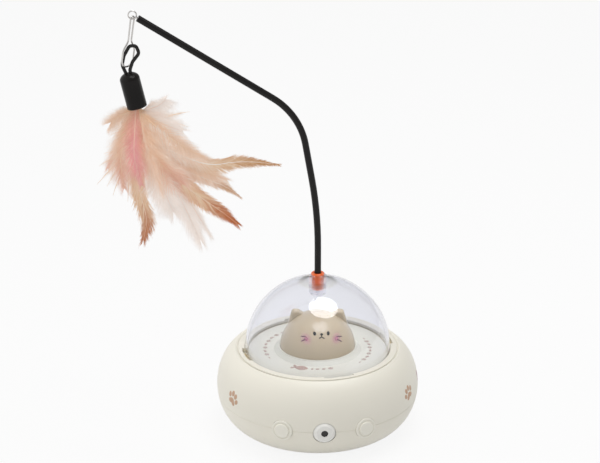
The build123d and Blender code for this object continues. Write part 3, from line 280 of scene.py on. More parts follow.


# %% [markdown]
# ## Finishes
# Each finish is one Principled shader, and what lets light through mixes it with a clear one, or with a pale
# translucent one where it is painted over shade. Values that are the same all over sit on the shader's own sockets.


# %% Finish helpers
def new_material(name):
    """An empty material: its tree, its Principled shader and its output node."""
    material = bpy.data.materials.new(name)
    material.use_nodes = True
    tree = material.node_tree
    tree.nodes.clear()
    shader = tree.nodes.new("ShaderNodeBsdfPrincipled")
    output = tree.nodes.new("ShaderNodeOutputMaterial")
    tree.links.new(shader.outputs[0], output.inputs["Surface"])
    return material, tree, shader, output


def set_sockets(node, **sockets):
    """Set a node's sockets by name, with an underscore for each space."""
    for label, value in sockets.items():
        node.inputs[label.replace("_", " ")].default_value = value


def shared_skin(tree, shader, group, **sockets):
    """Add one of the shared effects, set it up, and feed the shader from it."""
    skin = add_node(tree, "ShaderNodeGroup", node_tree=group)
    set_sockets(skin, **sockets)
    for (label, _), target in zip(SKIN_OUTPUTS, ("Base Color", "Roughness", "Normal")):
        tree.links.new(skin.outputs[label], shader.inputs[target])


def moulded(name, colour, roughness, drift=0.05, smudge=0.08, grain=3000.0, depth=0.12, **sockets):
    """A moulded plastic or rubber with the shared skin."""
    material, tree, shader, _ = new_material(name)
    shared_skin(
        tree, shader, moulded_skin, Colour=colour, Drift=drift, Roughness=roughness, Smudge=smudge, Grain_Size=grain,
        Grain_Depth=depth,
    )
    set_sockets(shader, **sockets)
    return material


def metal(name, colour, roughness, stretch=(1.0, 1.0, 0.04)):
    """A drawn or turned metal with the shared lines."""
    material, tree, shader, _ = new_material(name)
    shared_skin(tree, shader, drawn_metal, Colour=colour, Roughness=roughness, Line_Stretch=stretch)
    set_sockets(shader, Metallic=1.0)
    return material


def clear_plastic(name, colour, edge_colour, shadow_colour, pale_paint_colour, foot_z, collar_z, collar_r):
    """Clear moulded plastic: tinted edge on, a pale translucent band painted below foot_z over the shade of the slot
    there, and hardly bending light in its small collar.
    """
    foot_fade, pale_paint_share = 0.4 * MM, 0.85
    deepest_ray = 6.5  # later bounces pass straight on, so that no ray dies inside the plastic
    collar_fade, collar_clear = 1.7, 0.7
    material, tree, shader, output = new_material(name)
    facing = add_node(tree, "ShaderNodeLayerWeight", {"Blend": 0.35}).outputs["Facing"]
    tint = mix_colours(tree, maths(tree, "POWER", facing, 2.0), colour, edge_colour)
    tree.links.new(tint, shader.inputs["Base Color"])
    set_sockets(shader, Roughness=0.02, IOR=1.58, Transmission_Weight=1.0, Specular_IOR_Level=0.42)
    place = add_node(tree, "ShaderNodeSeparateXYZ")
    tree.links.new(add_node(tree, "ShaderNodeTexCoord").outputs["Object"], place.inputs[0])
    z, foot_top = place.outputs["Z"], foot_z + foot_fade
    # below foot_z a pale translucent band is painted over the shade of the slot that the dome's foot stands in
    foot = {"Value": z, "From Min": foot_z, "From Max": foot_top, "To Min": pale_paint_share, "To Max": 0.0}
    foot = add_node(tree, "ShaderNodeMapRange", foot)
    painted_pale_foot = add_node(tree, "ShaderNodeBsdfTranslucent", {"Color": pale_paint_colour})
    solid = add_node(tree, "ShaderNodeMixShader", {0: foot.outputs[0], 1: shader.outputs[0], 2: painted_pale_foot.outputs[0]})
    light = add_node(tree, "ShaderNodeBsdfTransparent", {"Color": shadow_colour})
    path = add_node(tree, "ShaderNodeLightPath")
    deep = maths(tree, "GREATER_THAN", path.outputs["Ray Depth"], deepest_ray)
    through = maths(tree, "MAXIMUM", path.outputs["Is Shadow Ray"], deep)
    x, y = place.outputs["X"], place.outputs["Y"]
    radius = maths(tree, "SQRT", maths(tree, "ADD", times(tree, x, x), times(tree, y, y)))
    collar_end = collar_fade * collar_r
    collar = add_node(tree, "ShaderNodeMapRange", {"Value": radius, "From Min": collar_r, "From Max": collar_end})
    collar.interpolation_type = "SMOOTHSTEP"
    collar = maths(tree, "SUBTRACT", 1.0, collar.outputs[0])
    collar = times(tree, collar, maths(tree, "GREATER_THAN", z, collar_z))
    through = maths(tree, "MAXIMUM", through, times(tree, collar, collar_clear))
    rings = times(tree, collar, maths(tree, "POWER", facing, 3.0))
    wire(tree, light.inputs["Color"], mix_colours(tree, rings, shadow_colour, edge_colour))
    mix = add_node(tree, "ShaderNodeMixShader", {0: through, 1: solid.outputs[0], 2: light.outputs[0]})
    tree.links.new(mix.outputs[0], output.inputs["Surface"])
    return material


# %% Plastics, rubber and metals
cream = moulded("cream shell", linear(240, 236, 223), 0.42, drift=0.03)
cream_button = moulded("cream button", linear(241, 238, 226), 0.36, drift=0.02)
deck_white = moulded("deck white", linear(212, 211, 198), 0.34, drift=0.03)
cat_taupe = moulded(
    "cat taupe", linear(188, 171, 140), 0.35, drift=0.06, depth=0.03, Coat_Weight=0.7, Coat_Roughness=0.12,
    Coat_IOR=1.6,
)
laser_white = moulded("laser white", linear(238, 237, 232), 0.35, drift=0.02)
dark_window = moulded("dark window", linear(18, 17, 18), 0.08, depth=0.0)
wand_black = moulded("wand black", linear(16, 15, 17), 0.3, grain=1800.0, depth=0.1, Specular_IOR_Level=0.2)
cord_black = moulded("cord black", linear(14, 13, 15), 0.42, grain=2500.0, depth=0.3, Specular_IOR_Level=0.3)
cap_black = moulded("cap black", linear(10, 9, 12), 0.2, smudge=0.04, depth=0.02, Specular_IOR_Level=0.14)
foot_rubber = moulded("foot rubber", linear(120, 119, 114), 0.75, drift=0.2, grain=1400.0, depth=0.4)
inner_plastic = moulded("inner plastic", linear(222, 222, 216), 0.5)
gear_nylon = moulded("gear nylon", linear(236, 232, 220), 0.38)
board_green = moulded("board green", linear(20, 92, 48), 0.32, drift=0.2, grain=900.0)
switch_black = moulded("switch black", linear(28, 28, 28), 0.45)
cell_wrap = moulded("cell wrap", linear(52, 98, 170), 0.25, drift=0.1)
orange_socket = moulded(
    "orange socket", linear(250, 112, 45), 0.22, drift=0.05, depth=0.02, Subsurface_Weight=0.25,
    Subsurface_Radius=(0.002, 0.0008, 0.0004), Coat_Weight=0.3,
)
wire_steel = metal("wire steel", (0.72, 0.70, 0.68, 1), 0.16)
steel = metal("machined steel", (0.56, 0.56, 0.57, 1), 0.3, stretch=(1.0, 1.0, 0.2))
motor_can = metal("motor can", (0.62, 0.62, 0.63, 1), 0.26)
brass = metal("turned brass", (0.78, 0.57, 0.27, 1), 0.24, stretch=(0.1, 0.1, 1.0))
# the last colour here is the pale band painted at the dome's foot, over the shade of the slot it stands in
clear_dome = clear_plastic(
    "clear dome", (0.905, 0.91, 0.945, 1), (0.74, 0.74, 0.84, 1), (0.97, 0.97, 0.98, 1), linear(236, 230, 216),
    foot_z=48.5 * MM, collar_z=84.0 * MM, collar_r=7.5 * MM,
)

for names, finish in (
    ("bottom_case top_shell turntable", cream),
    ("power_button mode_button", cream_button),
    ("deck_disc", deck_white),
    ("cat_head", cat_taupe),
    ("laser_eye", laser_white),
    ("laser_window", dark_window),
    ("wand_sleeve", wand_black),
    ("lure_cord", cord_black),
    ("lure_cap", cap_black),
    ("foot_ring", foot_rubber),
    ("chassis", inner_plastic),
    ("drive_gear idler_gear laser_sector thrust_washer", gear_nylon),
    ("switch_boards main_board", board_green),
    ("tact_switches", switch_black),
    ("battery", cell_wrap),
    ("wand_socket", orange_socket),
    ("wand_core wire_pin", wire_steel),
    ("case_screws turntable_axle retaining_washer axle_screw idler_pin motor_shaft motor_screws", steel),
    ("deck_screws pivot_pins laser_shaft usb_port", steel),
    ("drive_motor laser_motor", motor_can),
    ("motor_pinion laser_pinion laser_module", brass),
    ("dome_cover", clear_dome),
):
    for name in names.split():
        mesh = nodes[name].data
        mesh.materials.clear()
        mesh.materials.append(finish)
print("finishes:", len(bpy.data.materials))

# %% [markdown]
# ## Printed marks
# Marks on toys are pad-printed: a film of ink a few hundredths of a millimetre thick, laid on after moulding.
# Each mark here is such a film, made of round blobs and short strokes on a flat sheet, and then bent onto the
# surface that carries it. Solidify gives it its thickness, downwards into the surface.


# %% Flat ink shapes
def turned(x, y, turn, centre):
    """The point (x, y) after a turn in degrees and a move to a new centre."""
    turn = radians(turn)
    return centre[0] + x * cos(turn) - y * sin(turn), centre[1] + x * sin(turn) + y * cos(turn)


def blob(centre, size, turn=0.0, point=0.0, count=28, rings=4):
    """An oval of ink as (points, faces); `point` draws its two ends out, as on a leaf."""
    points = [centre]
    for ring in range(1, rings + 1):
        share = ring / rings
        for index in range(count):
            angle = 2 * pi * index / count
            across = sin(angle) * (1 - point * abs(cos(angle)) ** 2)
            points.append(turned(size[0] * cos(angle) * share, size[1] * across * share, turn, centre))
    faces = [(0, 1 + index, 1 + (index + 1) % count) for index in range(count)]
    for ring in range(rings - 1):
        start = 1 + ring * count
        for index in range(count):
            after = (index + 1) % count
            faces.append((start + index, start + count + index, start + count + after, start + after))
    return points, faces


def stroke(line, width):
    """A line of ink with a steady width and tapered ends."""
    end_share = 0.45
    points, faces = [], []
    for index, (x, y) in enumerate(line):
        before, after = line[max(index - 1, 0)], line[min(index + 1, len(line) - 1)]
        angle = atan2(after[1] - before[1], after[0] - before[0]) + pi / 2
        end = min(index, len(line) - 1 - index)
        half = width / 2 * (end_share if end == 0 else 1.0)
        points += [(x - cos(angle) * half, y - sin(angle) * half), (x + cos(angle) * half, y + sin(angle) * half)]
        if index:
            low = 2 * index - 2
            faces.append((low, low + 2, low + 3, low + 1))
    return points, faces


def paw(size, turn=0.0):
    """A paw print: a pad with two lobes and four toes, `size` wide."""
    parts = [((0, -0.10), (0.20, 0.18), 0), ((-0.16, -0.20), (0.17, 0.15), 20), ((0.16, -0.20), (0.17, 0.15), -20),
             ((-0.38, 0.10), (0.13, 0.18), 18), ((-0.15, 0.34), (0.135, 0.19), 6),
             ((0.15, 0.34), (0.135, 0.19), -6), ((0.38, 0.10), (0.13, 0.18), -18)]
    shapes = []
    for (x, y), (wide, high), lean in parts:
        spot = turned(x * size, y * size, turn, (0.0, 0.0))
        shapes.append(blob(spot, (wide * size, high * size), turn + lean, count=20, rings=3))
    return shapes


def fish(length, turn=0.0):
    """A plain fish that swims towards +x: a leaf-shaped body and a forked tail, in shares of its length."""
    fork = 48
    body_spot = turned(0.10 * length, 0.0, turn, (0.0, 0.0))
    shapes = [blob(body_spot, (0.40 * length, 0.27 * length), turn, point=0.4)]
    for side in (1, -1):
        spot = turned(-0.36 * length, side * 0.13 * length, turn, (0.0, 0.0))
        fin = (0.15 * length, 0.09 * length)
        shapes.append(blob(spot, fin, turn - side * fork, point=0.3, count=16, rings=3))
    return shapes


def lay_print(name, shapes, onto, material, body, thickness=0.05):
    """Bend flat ink shapes onto a surface with onto(x, y) and make one piece of them."""
    mesh = bpy.data.meshes.new(name)
    points, faces, fades = [], [], []
    for shape_points, shape_faces in shapes:
        start = len(points)
        middle = sum((Vector(point) for point in shape_points), Vector((0, 0))) / len(shape_points)
        reach = max((Vector(point) - middle).length for point in shape_points)
        fades += [(Vector(point) - middle).length / reach for point in shape_points]
        points += [onto(x, y) for x, y in shape_points]
        faces += [tuple(start + corner for corner in face) for face in shape_faces]
    mesh.from_pydata([Vector(point) * MM for point in points], [], faces)
    fade = mesh.attributes.new("fade", "FLOAT", "POINT")
    fade.data.foreach_set("value", fades)
    for polygon in mesh.polygons:
        polygon.use_smooth = True
    mesh.materials.append(material)
    piece = add_object(name, mesh)
    film = piece.modifiers.new("film", "SOLIDIFY")
    film.thickness = thickness * MM
    film.offset = -1.0
    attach(piece, body)


# %% [markdown]
# Ink has a finish of its own: a little rougher than most plastics, and speckled where the pad left less of it.


# %% Inks
def ink(name, colour, roughness=0.5, speckle=0.12, **extras):
    """A printing ink."""
    return moulded(name, colour, roughness, drift=speckle, smudge=0.15, grain=5000.0, depth=0.05, **extras)


def soft_ink(name, colour):
    """An airbrushed ink that thins out towards the edge of its shape."""
    middle_cover = 0.5
    material = ink(name, colour, roughness=0.3, speckle=0.0)
    tree = material.node_tree
    fade = add_node(tree, "ShaderNodeAttribute", attribute_name="fade").outputs["Fac"]
    cover = add_node(tree, "ShaderNodeMapRange", {"Value": fade, "To Min": middle_cover, "To Max": 0.0})
    cover.interpolation_type = "SMOOTHSTEP"
    tree.links.new(cover.outputs[0], tree.nodes["Principled BSDF"].inputs["Alpha"])
    return material


paw_ink = ink("paw ink", linear(206, 168, 140))
deck_ink = ink("deck ink", linear(174, 146, 134))
face_ink = ink("face ink", linear(12, 11, 12), roughness=0.5, speckle=0.0, Specular_IOR_Level=0.1)
blush_ink = soft_ink("blush ink", linear(216, 136, 172))
whisker_ink = ink("whisker ink", linear(84, 52, 66), roughness=0.35, speckle=0.0)
mauve_ink = ink("mauve ink", linear(186, 148, 160))

# %% [markdown]
# The outside of the base over its belly is a quarter of an ellipse turned round the axis, so a mark's place on
# it is an azimuth and a height. The film stands three hundredths of a millimetre proud of it.

# %% Paw prints on the base
belly_z = 27.0
upper_centre_r = 44.0
upper_radial = 16.2
upper_rise = 24.5
ink_proud = 0.03


def on_base(azimuth, height):
    """A function that puts flat ink on the base round an azimuth and a height, in degrees and millimetres."""
    tilt = (height - belly_z) / upper_rise
    slope = upper_radial * tilt / (upper_rise * sqrt(1 - tilt * tilt))
    shorten = 1 / sqrt(1 + slope * slope)

    def place(x, y):
        z = height + y * shorten
        level = (z - belly_z) / upper_rise
        r = upper_centre_r + (upper_radial + ink_proud) * sqrt(max(1 - level * level, 0.0))
        angle = radians(azimuth) + x / r
        return r * sin(angle), -r * cos(angle), z

    return place


paw_size, paw_lean = 9.6, 24
fish_size, fish_lean = 7.0, 84
base_marks = [
    ("paw_print_left", paw(paw_size, -paw_lean), -60.0, 31.0, paw_ink),
    ("paw_print_right", paw(paw_size, paw_lean), 60.0, 31.6, paw_ink),
    ("fish_print_right", fish(fish_size, fish_lean), 82.0, 33.0, mauve_ink),
    ("fish_print_left", fish(fish_size, -fish_lean), -100.0, 33.0, mauve_ink),
    ("paw_print_back_left", paw(paw_size, paw_lean), -140.0, 31.6, paw_ink),
    ("paw_print_back_right", paw(paw_size, -paw_lean), 140.0, 31.6, paw_ink),
]
for name, shapes, azimuth, height, colour in base_marks:
    lay_print(name, shapes, on_base(azimuth, height), colour, "base")
print("marks on the base:", len(base_marks))

# %% [markdown]
# The deck under the dome carries a ring of small marks. At the front a fish swims along a row of dashes to a
# paw print. An arc on each side has small paws and fish in turn, with a short dash at either end.

# %% Ring of marks on the deck
deck_face_z = 48.704
ring_r = 29.2
arc_r = 31.5


def on_deck(x, y):
    """Flat ink on the deck: x runs round the ring from the front in degrees, y is the radius."""
    angle = radians(x)
    return y * sin(angle), -y * cos(angle), deck_face_z + ink_proud


def dash(half_length, half_height):
    """A dash as a list of one shape."""
    return [blob((0, 0), (half_length, half_height), count=16, rings=2)]


def on_ring(shapes, azimuth, radius):
    """Move flat shapes, in millimetres, to a place on the ring, with their top towards the middle."""
    moved = []
    for points, faces in shapes:
        places = [(azimuth + degrees(x / radius), radius - y) for x, y in points]
        moved.append((places, [face[::-1] for face in faces]))
    return moved


deck_shapes = on_ring(fish(10.2, 2), -24.8, ring_r)
for azimuth, half in ((-10.0, 0.75), (-3.9, 1.1), (3.3, 1.1)):
    deck_shapes += on_ring(dash(half, 0.85), azimuth, ring_r)
deck_shapes += on_ring(paw(3.2), 11.3, ring_r)
arc_steps = 4
for middle, spacing in ((-104.0, 9.0), (80.5, 8.1)):
    for step in range(-arc_steps, arc_steps + 1):
        if abs(step) == arc_steps:
            mark = dash(1.0, 0.4)
        else:
            mark = paw(2.9, 8 * step) if step % 2 else fish(3.0, 10 * step)
        deck_shapes += on_ring(mark, middle + step * spacing, arc_r)
lay_print("deck_marks", deck_shapes, on_deck, deck_ink, "spinner")
print("ink shapes on the deck:", len(deck_shapes))

# %% [markdown]
# The face is printed on the ball of the head. It looks a few degrees to the right of the front.

# %% The cat's face
ball_centre_z = 49.77
ball_r = 22.434
face_azimuth = 4.0


def on_ball(x, y):
    """Flat ink on the cat's head: x round it from the face's middle, y up from the ball's equator, in mm."""
    lift = y / ball_r
    angle = radians(face_azimuth) + x / (ball_r * cos(lift))
    r = ball_r + ink_proud
    return r * cos(lift) * sin(angle), -r * cos(lift) * cos(angle), ball_centre_z + r * sin(lift)


line_width = 0.62
mouth_half, mouth_y, mouth_tilt, mouth_dip, mouth_curl = 1.7, 15.35, 0.15, 0.85, 0.62
mouth_steps = 8
mouth = []
for step in range(-mouth_steps, mouth_steps + 1):
    share = step / mouth_steps
    dip = mouth_dip * sin(pi * mouth_curl * abs(share))
    mouth.append((mouth_half * share, mouth_y - mouth_tilt * share - dip))
face_shapes = [
    blob((-4.0, 17.3), (0.95, 1.27), count=24),
    blob((4.1, 17.0), (0.95, 1.27), count=24),
    blob((0.1, 16.8), (0.88, 0.75), count=24),
    stroke(mouth, line_width),
    stroke([(0.05, 16.8), (0.03, 16.3), (0.0, 15.8), (0.0, 15.3)], 0.5),
]
lay_print("face_print", face_shapes, on_ball, face_ink, "spinner")
blush_shapes = [blob(spot, (4.6, 4.2), count=24) for spot in ((-9.4, 13.6), (9.2, 13.0))]
lay_print("blush_print", blush_shapes, on_ball, blush_ink, "spinner", thickness=0.04)
whisker_ends = [
    ((-9.4, 15.0), (-13.0, 14.4)),
    ((-9.8, 13.3), (-13.0, 11.5)),
    ((9.6, 14.0), (13.8, 12.9)),
    ((9.6, 12.4), (13.1, 10.1)),
]
whisker_steps = 5
whiskers = []
for (x0, y0), (x1, y1) in whisker_ends:
    line = []
    for step in range(whisker_steps + 1):
        line.append((x0 + (x1 - x0) * step / whisker_steps, y0 + (y1 - y0) * step / whisker_steps))
    whiskers.append(stroke(line, line_width))


def on_ball_over(x, y):
    """The same place, over the blush."""
    point = Vector(on_ball(x, y)) - Vector((0, 0, ball_centre_z))
    return tuple(point.normalized() * (ball_r + 2 * ink_proud) + Vector((0, 0, ball_centre_z)))


lay_print("whisker_print", whiskers, on_ball_over, whisker_ink, "spinner")

# %% [markdown]
# ## Feathers
# A feather is a quill with a row of barbs on each side, so it is a rule more than a shape. One Geometry Nodes
# tree grows it along any curve: it resamples the quill, sets a thin tapered blade on each point, leans the
# blades towards the tip, varies their length, and lets noise flutter their ends. Down has long loose barbs
# with much flutter, and a stiff hackle has short close ones with almost none.


# %% Feather tree
def build_feather_tree():
    inputs = [
        ("Geometry", "Geometry", None),
        ("Barbs", "Int", 400),
        ("Length", "Float", 0.012),
        ("Root Share", "Float", 0.5),
        ("Tip Share", "Float", 0.4),
        ("Root Lean", "Float", 0.9),
        ("Tip Lean", "Float", 0.5),
        ("Bend", "Float", 0.25),
        ("Slimness", "Float", 0.016),
        ("Spread", "Float", 0.3),
        ("Flutter", "Float", 0.002),
        ("Flutter Size", "Float", 90.0),
        ("Ragged", "Float", 0.35),
        ("Quill Radius", "Float", 0.0003),
        ("Facing", "Vector", (0.0, 1.0, 0.0)),
        ("Seed", "Int", 1),
        ("Material", "Material", None),
    ]
    tree, inside, outside = new_group("feather", "GeometryNodeTree", inputs, [("Geometry", "Geometry")])
    given = inside.outputs

    def vector(operation, first, second=None, scale=None):
        node = add_node(tree, "ShaderNodeVectorMath", operation=operation)
        wire(tree, node.inputs[0], first)
        if second is not None:
            wire(tree, node.inputs[1], second)
        if scale is not None:
            wire(tree, node.inputs["Scale"], scale)
        return node.outputs[0]

    def random(low, high, offset):
        # each draw has its own offset from the feather's seed
        seed = maths(tree, "ADD", given["Seed"], offset)
        node = add_node(tree, "FunctionNodeRandomValue", data_type="FLOAT")
        wire(tree, node.inputs[2], low)
        wire(tree, node.inputs[3], high)
        wire(tree, node.inputs["Seed"], seed)
        return node.outputs[1]

    def ramp(value, from_low, from_high, to_low, to_high):
        node = add_node(tree, "ShaderNodeMapRange", interpolation_type="SMOOTHSTEP")
        for index, number in enumerate((value, from_low, from_high, to_low, to_high)):
            wire(tree, node.inputs[index], number)
        return node.outputs[0]

    def keep(geometry, label, value):
        # store a value on the points under a name, for the finish to read
        inputs = {"Geometry": geometry, "Name": label, "Value": value}
        store = add_node(tree, "GeometryNodeStoreNamedAttribute", inputs, data_type="FLOAT", domain="POINT")
        return store.outputs[0]

    # the blade of one barb, 1 long and tapered, with its distance from the quill kept as "out"
    grid = add_node(tree, "GeometryNodeMeshGrid", {"Size X": 1.0, "Size Y": 1.0, "Vertices X": 7, "Vertices Y": 2})
    spot = add_node(tree, "ShaderNodeSeparateXYZ", {"Vector": add_node(tree, "GeometryNodeInputPosition").outputs[0]})
    along = maths(tree, "ADD", spot.outputs["X"], 0.5)
    taper = maths(tree, "SUBTRACT", 1.05, along)
    width = times(tree, spot.outputs["Y"], times(tree, taper, given["Slimness"]))
    blade = add_node(tree, "GeometryNodeSetPosition", {"Geometry": keep(grid.outputs["Mesh"], "out", along)})
    wire(tree, blade.inputs["Position"], add_node(tree, "ShaderNodeCombineXYZ", {"X": along, "Y": width}).outputs[0])

    # quill points, with where they lie along the quill kept as "run", and a random number as "shift"
    quill = add_node(tree, "GeometryNodeResampleCurve", {"Curve": given["Geometry"], "Count": given["Barbs"]})
    run = add_node(tree, "GeometryNodeSplineParameter").outputs["Factor"]
    points = keep(keep(quill.outputs[0], "run", run), "shift", random(0.0, 1.0, 19))
    tangent = add_node(tree, "GeometryNodeInputTangent").outputs[0]
    side = vector("NORMALIZE", vector("CROSS_PRODUCT", tangent, given["Facing"]))
    rise_end, fall_start = 0.25, 0.55
    rise = ramp(run, 0.0, rise_end, given["Root Share"], 1.0)
    shape = times(tree, rise, ramp(run, fall_start, 1.0, 1.0, given["Tip Share"]))
    lean = ramp(run, 0.0, 1.0, given["Root Lean"], given["Tip Lean"])
    stray = 0.12
    barbs = add_node(tree, "GeometryNodeJoinGeometry")
    for sign in (1, -1):
        angle = maths(tree, "ADD", lean, random(-stray, stray, 3 + sign))
        ahead = vector("SCALE", tangent, scale=maths(tree, "COSINE", angle))
        aside = vector("SCALE", side, scale=times(tree, maths(tree, "SINE", angle), sign))
        loose = times(tree, random(-1.0, 1.0, 7 + sign), given["Spread"])
        off = vector("SCALE", given["Facing"], scale=loose)
        heading = vector("NORMALIZE", vector("ADD", vector("ADD", ahead, aside), off))
        turn = add_node(tree, "FunctionNodeAlignRotationToVector", {"Vector": heading}, axis="X")
        turn = add_node(
            tree,
            "FunctionNodeAlignRotationToVector",
            {"Rotation": turn.outputs[0], "Vector": given["Facing"]},
            axis="Z",
            pivot_axis="X",
        )
        ragged = maths(tree, "SUBTRACT", 1.0, times(tree, random(0.0, 1.0, 11 + sign), given["Ragged"]))
        size = times(tree, times(tree, shape, ragged), given["Length"])
        scale = add_node(tree, "ShaderNodeCombineXYZ", {"X": size, "Y": size, "Z": size})
        inputs = {
            "Points": points, "Instance": blade.outputs[0], "Rotation": turn.outputs[0], "Scale": scale.outputs[0],
        }
        placed = add_node(tree, "GeometryNodeInstanceOnPoints", inputs)
        tree.links.new(placed.outputs[0], barbs.inputs[0])
    real = add_node(tree, "GeometryNodeRealizeInstances", {"Geometry": barbs.outputs[0]})

    # let the ends sag, and flutter them
    end_power, seed_step = 1.6, 0.37
    fine_scale, fine_share, flutter_gain = 6.0, 0.3, 4.0
    grey = (0.5, 0.5, 0.5)
    out = add_node(tree, "GeometryNodeInputNamedAttribute", data_type="FLOAT")
    out.inputs["Name"].default_value = "out"
    far = maths(tree, "POWER", out.outputs[0], end_power)
    place = add_node(tree, "GeometryNodeInputPosition").outputs[0]
    seed_shift = vector("SCALE", (1.0, 1.0, 1.0), scale=times(tree, given["Seed"], seed_step))
    noise_place = vector("ADD", place, seed_shift)
    wave = noise(tree, noise_place, given["Flutter Size"], 2.0)
    fine = noise(tree, noise_place, times(tree, given["Flutter Size"], fine_scale), 1.0)
    push = vector("SUBTRACT", wave.outputs["Color"], grey)
    push = vector("ADD", push, vector("SCALE", vector("SUBTRACT", fine.outputs["Color"], grey), scale=fine_share))
    push = vector("SCALE", push, scale=times(tree, far, given["Flutter"]))
    push = vector("SCALE", push, scale=flutter_gain)
    fall = times(tree, times(tree, far, given["Bend"]), given["Length"])
    sag = add_node(tree, "ShaderNodeCombineXYZ", {"Z": times(tree, fall, -1.0)})
    moved = add_node(tree, "GeometryNodeSetPosition", {"Geometry": real.outputs[0]})
    wire(tree, moved.inputs["Offset"], vector("ADD", push, sag.outputs[0]))

    # the quill itself
    taper_start, tip_radius = 0.2, 0.25
    thin = times(tree, given["Quill Radius"], tip_radius)
    slim = ramp(run, taper_start, 1.0, given["Quill Radius"], thin)
    profile = add_node(tree, "GeometryNodeCurvePrimitiveCircle", {"Resolution": 6, "Radius": 1.0})
    tube = add_node(tree, "GeometryNodeCurveToMesh", {"Curve": quill.outputs[0], "Scale": slim, "Fill Caps": True})
    tree.links.new(profile.outputs[0], tube.inputs["Profile Curve"])
    both = add_node(tree, "GeometryNodeJoinGeometry")
    tree.links.new(tube.outputs[0], both.inputs[0])
    tree.links.new(moved.outputs[0], both.inputs[0])
    finish = add_node(tree, "GeometryNodeSetMaterial", {"Geometry": both.outputs[0], "Material": given["Material"]})
    wire(tree, outside.inputs[0], finish.outputs[0])
    return tree


feather_tree = build_feather_tree()
print("feather tree:", len(feather_tree.nodes), "nodes")


# %% Grow one feather
def grow_feather(name, quill, material, **values):
    """Grow a feather along a quill of (x, y, z) points in millimetres and return its plain mesh object."""
    curve = bpy.data.curves.new(name + "_quill", "CURVE")
    curve.dimensions = "3D"
    curve.resolution_u = 12
    spline = curve.splines.new("NURBS")
    spline.points.add(len(quill) - 1)
    for point, place in zip(spline.points, quill):
        point.co = (*(Vector(place) * MM), 1.0)
    spline.order_u = 3
    spline.use_endpoint_u = True
    grower = add_object(name + "_quill", curve)
    modifier = grower.modifiers.new("feather", "NODES")
    modifier.node_group = feather_tree
    sockets = {item.name: item.identifier for item in feather_tree.interface.items_tree if item.in_out == "INPUT"}
    for label, value in values.items():
        modifier[sockets[label.replace("_", " ")]] = value
    modifier[sockets["Material"]] = material
    bpy.context.view_layer.update()
    evaluated = grower.evaluated_get(bpy.context.evaluated_depsgraph_get())
    mesh = bpy.data.meshes.new_from_object(evaluated)
    bpy.data.objects.remove(grower)
    mesh.name = name
    return add_object(name, mesh)


# %% [markdown]
# Feather barbs are thin enough to let light through, and light bounces between hundreds of them. The shader
# passes most of a lamp's light on, and a faint glow in the barbs' own colour stands for the many bounces.


# %% Feather colours
def feather_finish(name, root, middle, tip, ends, pale, streaks):
    """A feather's finish from the colours of its root, middle and tip and of its barbs' ends."""
    light_pass = 0.75
    material, tree, shader, output = new_material(name)
    colours = add_node(tree, "ShaderNodeGroup", node_tree=plumage)
    set_sockets(colours, Root=root, Middle=middle, Tip=tip, Ends=ends, Pale_Ends=pale, Streaks=streaks)
    set_sockets(shader, Roughness=0.6, Sheen_Weight=0.3, Specular_IOR_Level=0.25, Emission_Strength=0.11)
    for target in ("Base Color", "Emission Color"):
        tree.links.new(colours.outputs["Colour"], shader.inputs[target])
    light = add_node(tree, "ShaderNodeBsdfTransparent", {"Color": (0.97, 0.94, 0.92, 1)})
    shadow = add_node(tree, "ShaderNodeLightPath").outputs["Is Shadow Ray"]
    through = times(tree, shadow, light_pass)
    mix = add_node(tree, "ShaderNodeMixShader", {0: through, 1: shader.outputs[0], 2: light.outputs[0]})
    tree.links.new(mix.outputs[0], output.inputs["Surface"])
    return material


peach = linear(242, 218, 196)
salmon = linear(238, 198, 178)
pink = linear(240, 184, 184)
white_down = linear(250, 243, 238)
pale_tan = linear(240, 214, 186)
tan = linear(216, 172, 128)
rust = linear(206, 126, 76)
peach_down = feather_finish("peach down", pale_tan, peach, salmon, white_down, 0.65, 0.3)
pale_down = feather_finish("pale down", pale_tan, peach, peach, white_down, 0.8, 0.3)
pink_down = feather_finish("pink down", salmon, pink, pink, salmon, 0.8, 0.3)
white_plume = feather_finish("white plume", linear(238, 222, 210), white_down, white_down, white_down, 0.5, 0.12)
tan_hackle = feather_finish("tan hackle", white_down, pale_tan, tan, tan, 0.2, 0.4)
brown_hackle = feather_finish("brown hackle", peach, pale_tan, rust, rust, 0.2, 0.45)
small_hackle = feather_finish("small hackle", white_down, peach, tan, white_down, 0.3, 0.35)
left_hackle = feather_finish("left hackle", peach, pale_tan, linear(206, 140, 102), pale_tan, 0.2, 0.4)

# %% [markdown]
# The bunch holds some thirty feathers. They start at the cap's mouth, and the table gives each one's quill,
# its finish, and how its barbs differ from a common kind.

# %% The bunch of feathers
down = dict(Barbs=900, Length=0.016, Root_Share=0.55, Tip_Share=0.45, Root_Lean=0.95, Tip_Lean=0.5, Bend=0.15,
            Slimness=0.015, Spread=0.35, Flutter=0.0022, Flutter_Size=110.0, Ragged=0.45, Quill_Radius=0.00035)
hackle = dict(Barbs=420, Length=0.0062, Root_Share=0.9, Tip_Share=0.25, Root_Lean=0.62, Tip_Lean=0.3, Bend=0.05,
              Slimness=0.06, Spread=0.06, Flutter=0.0004, Flutter_Size=160.0, Ragged=0.12, Quill_Radius=0.00032)

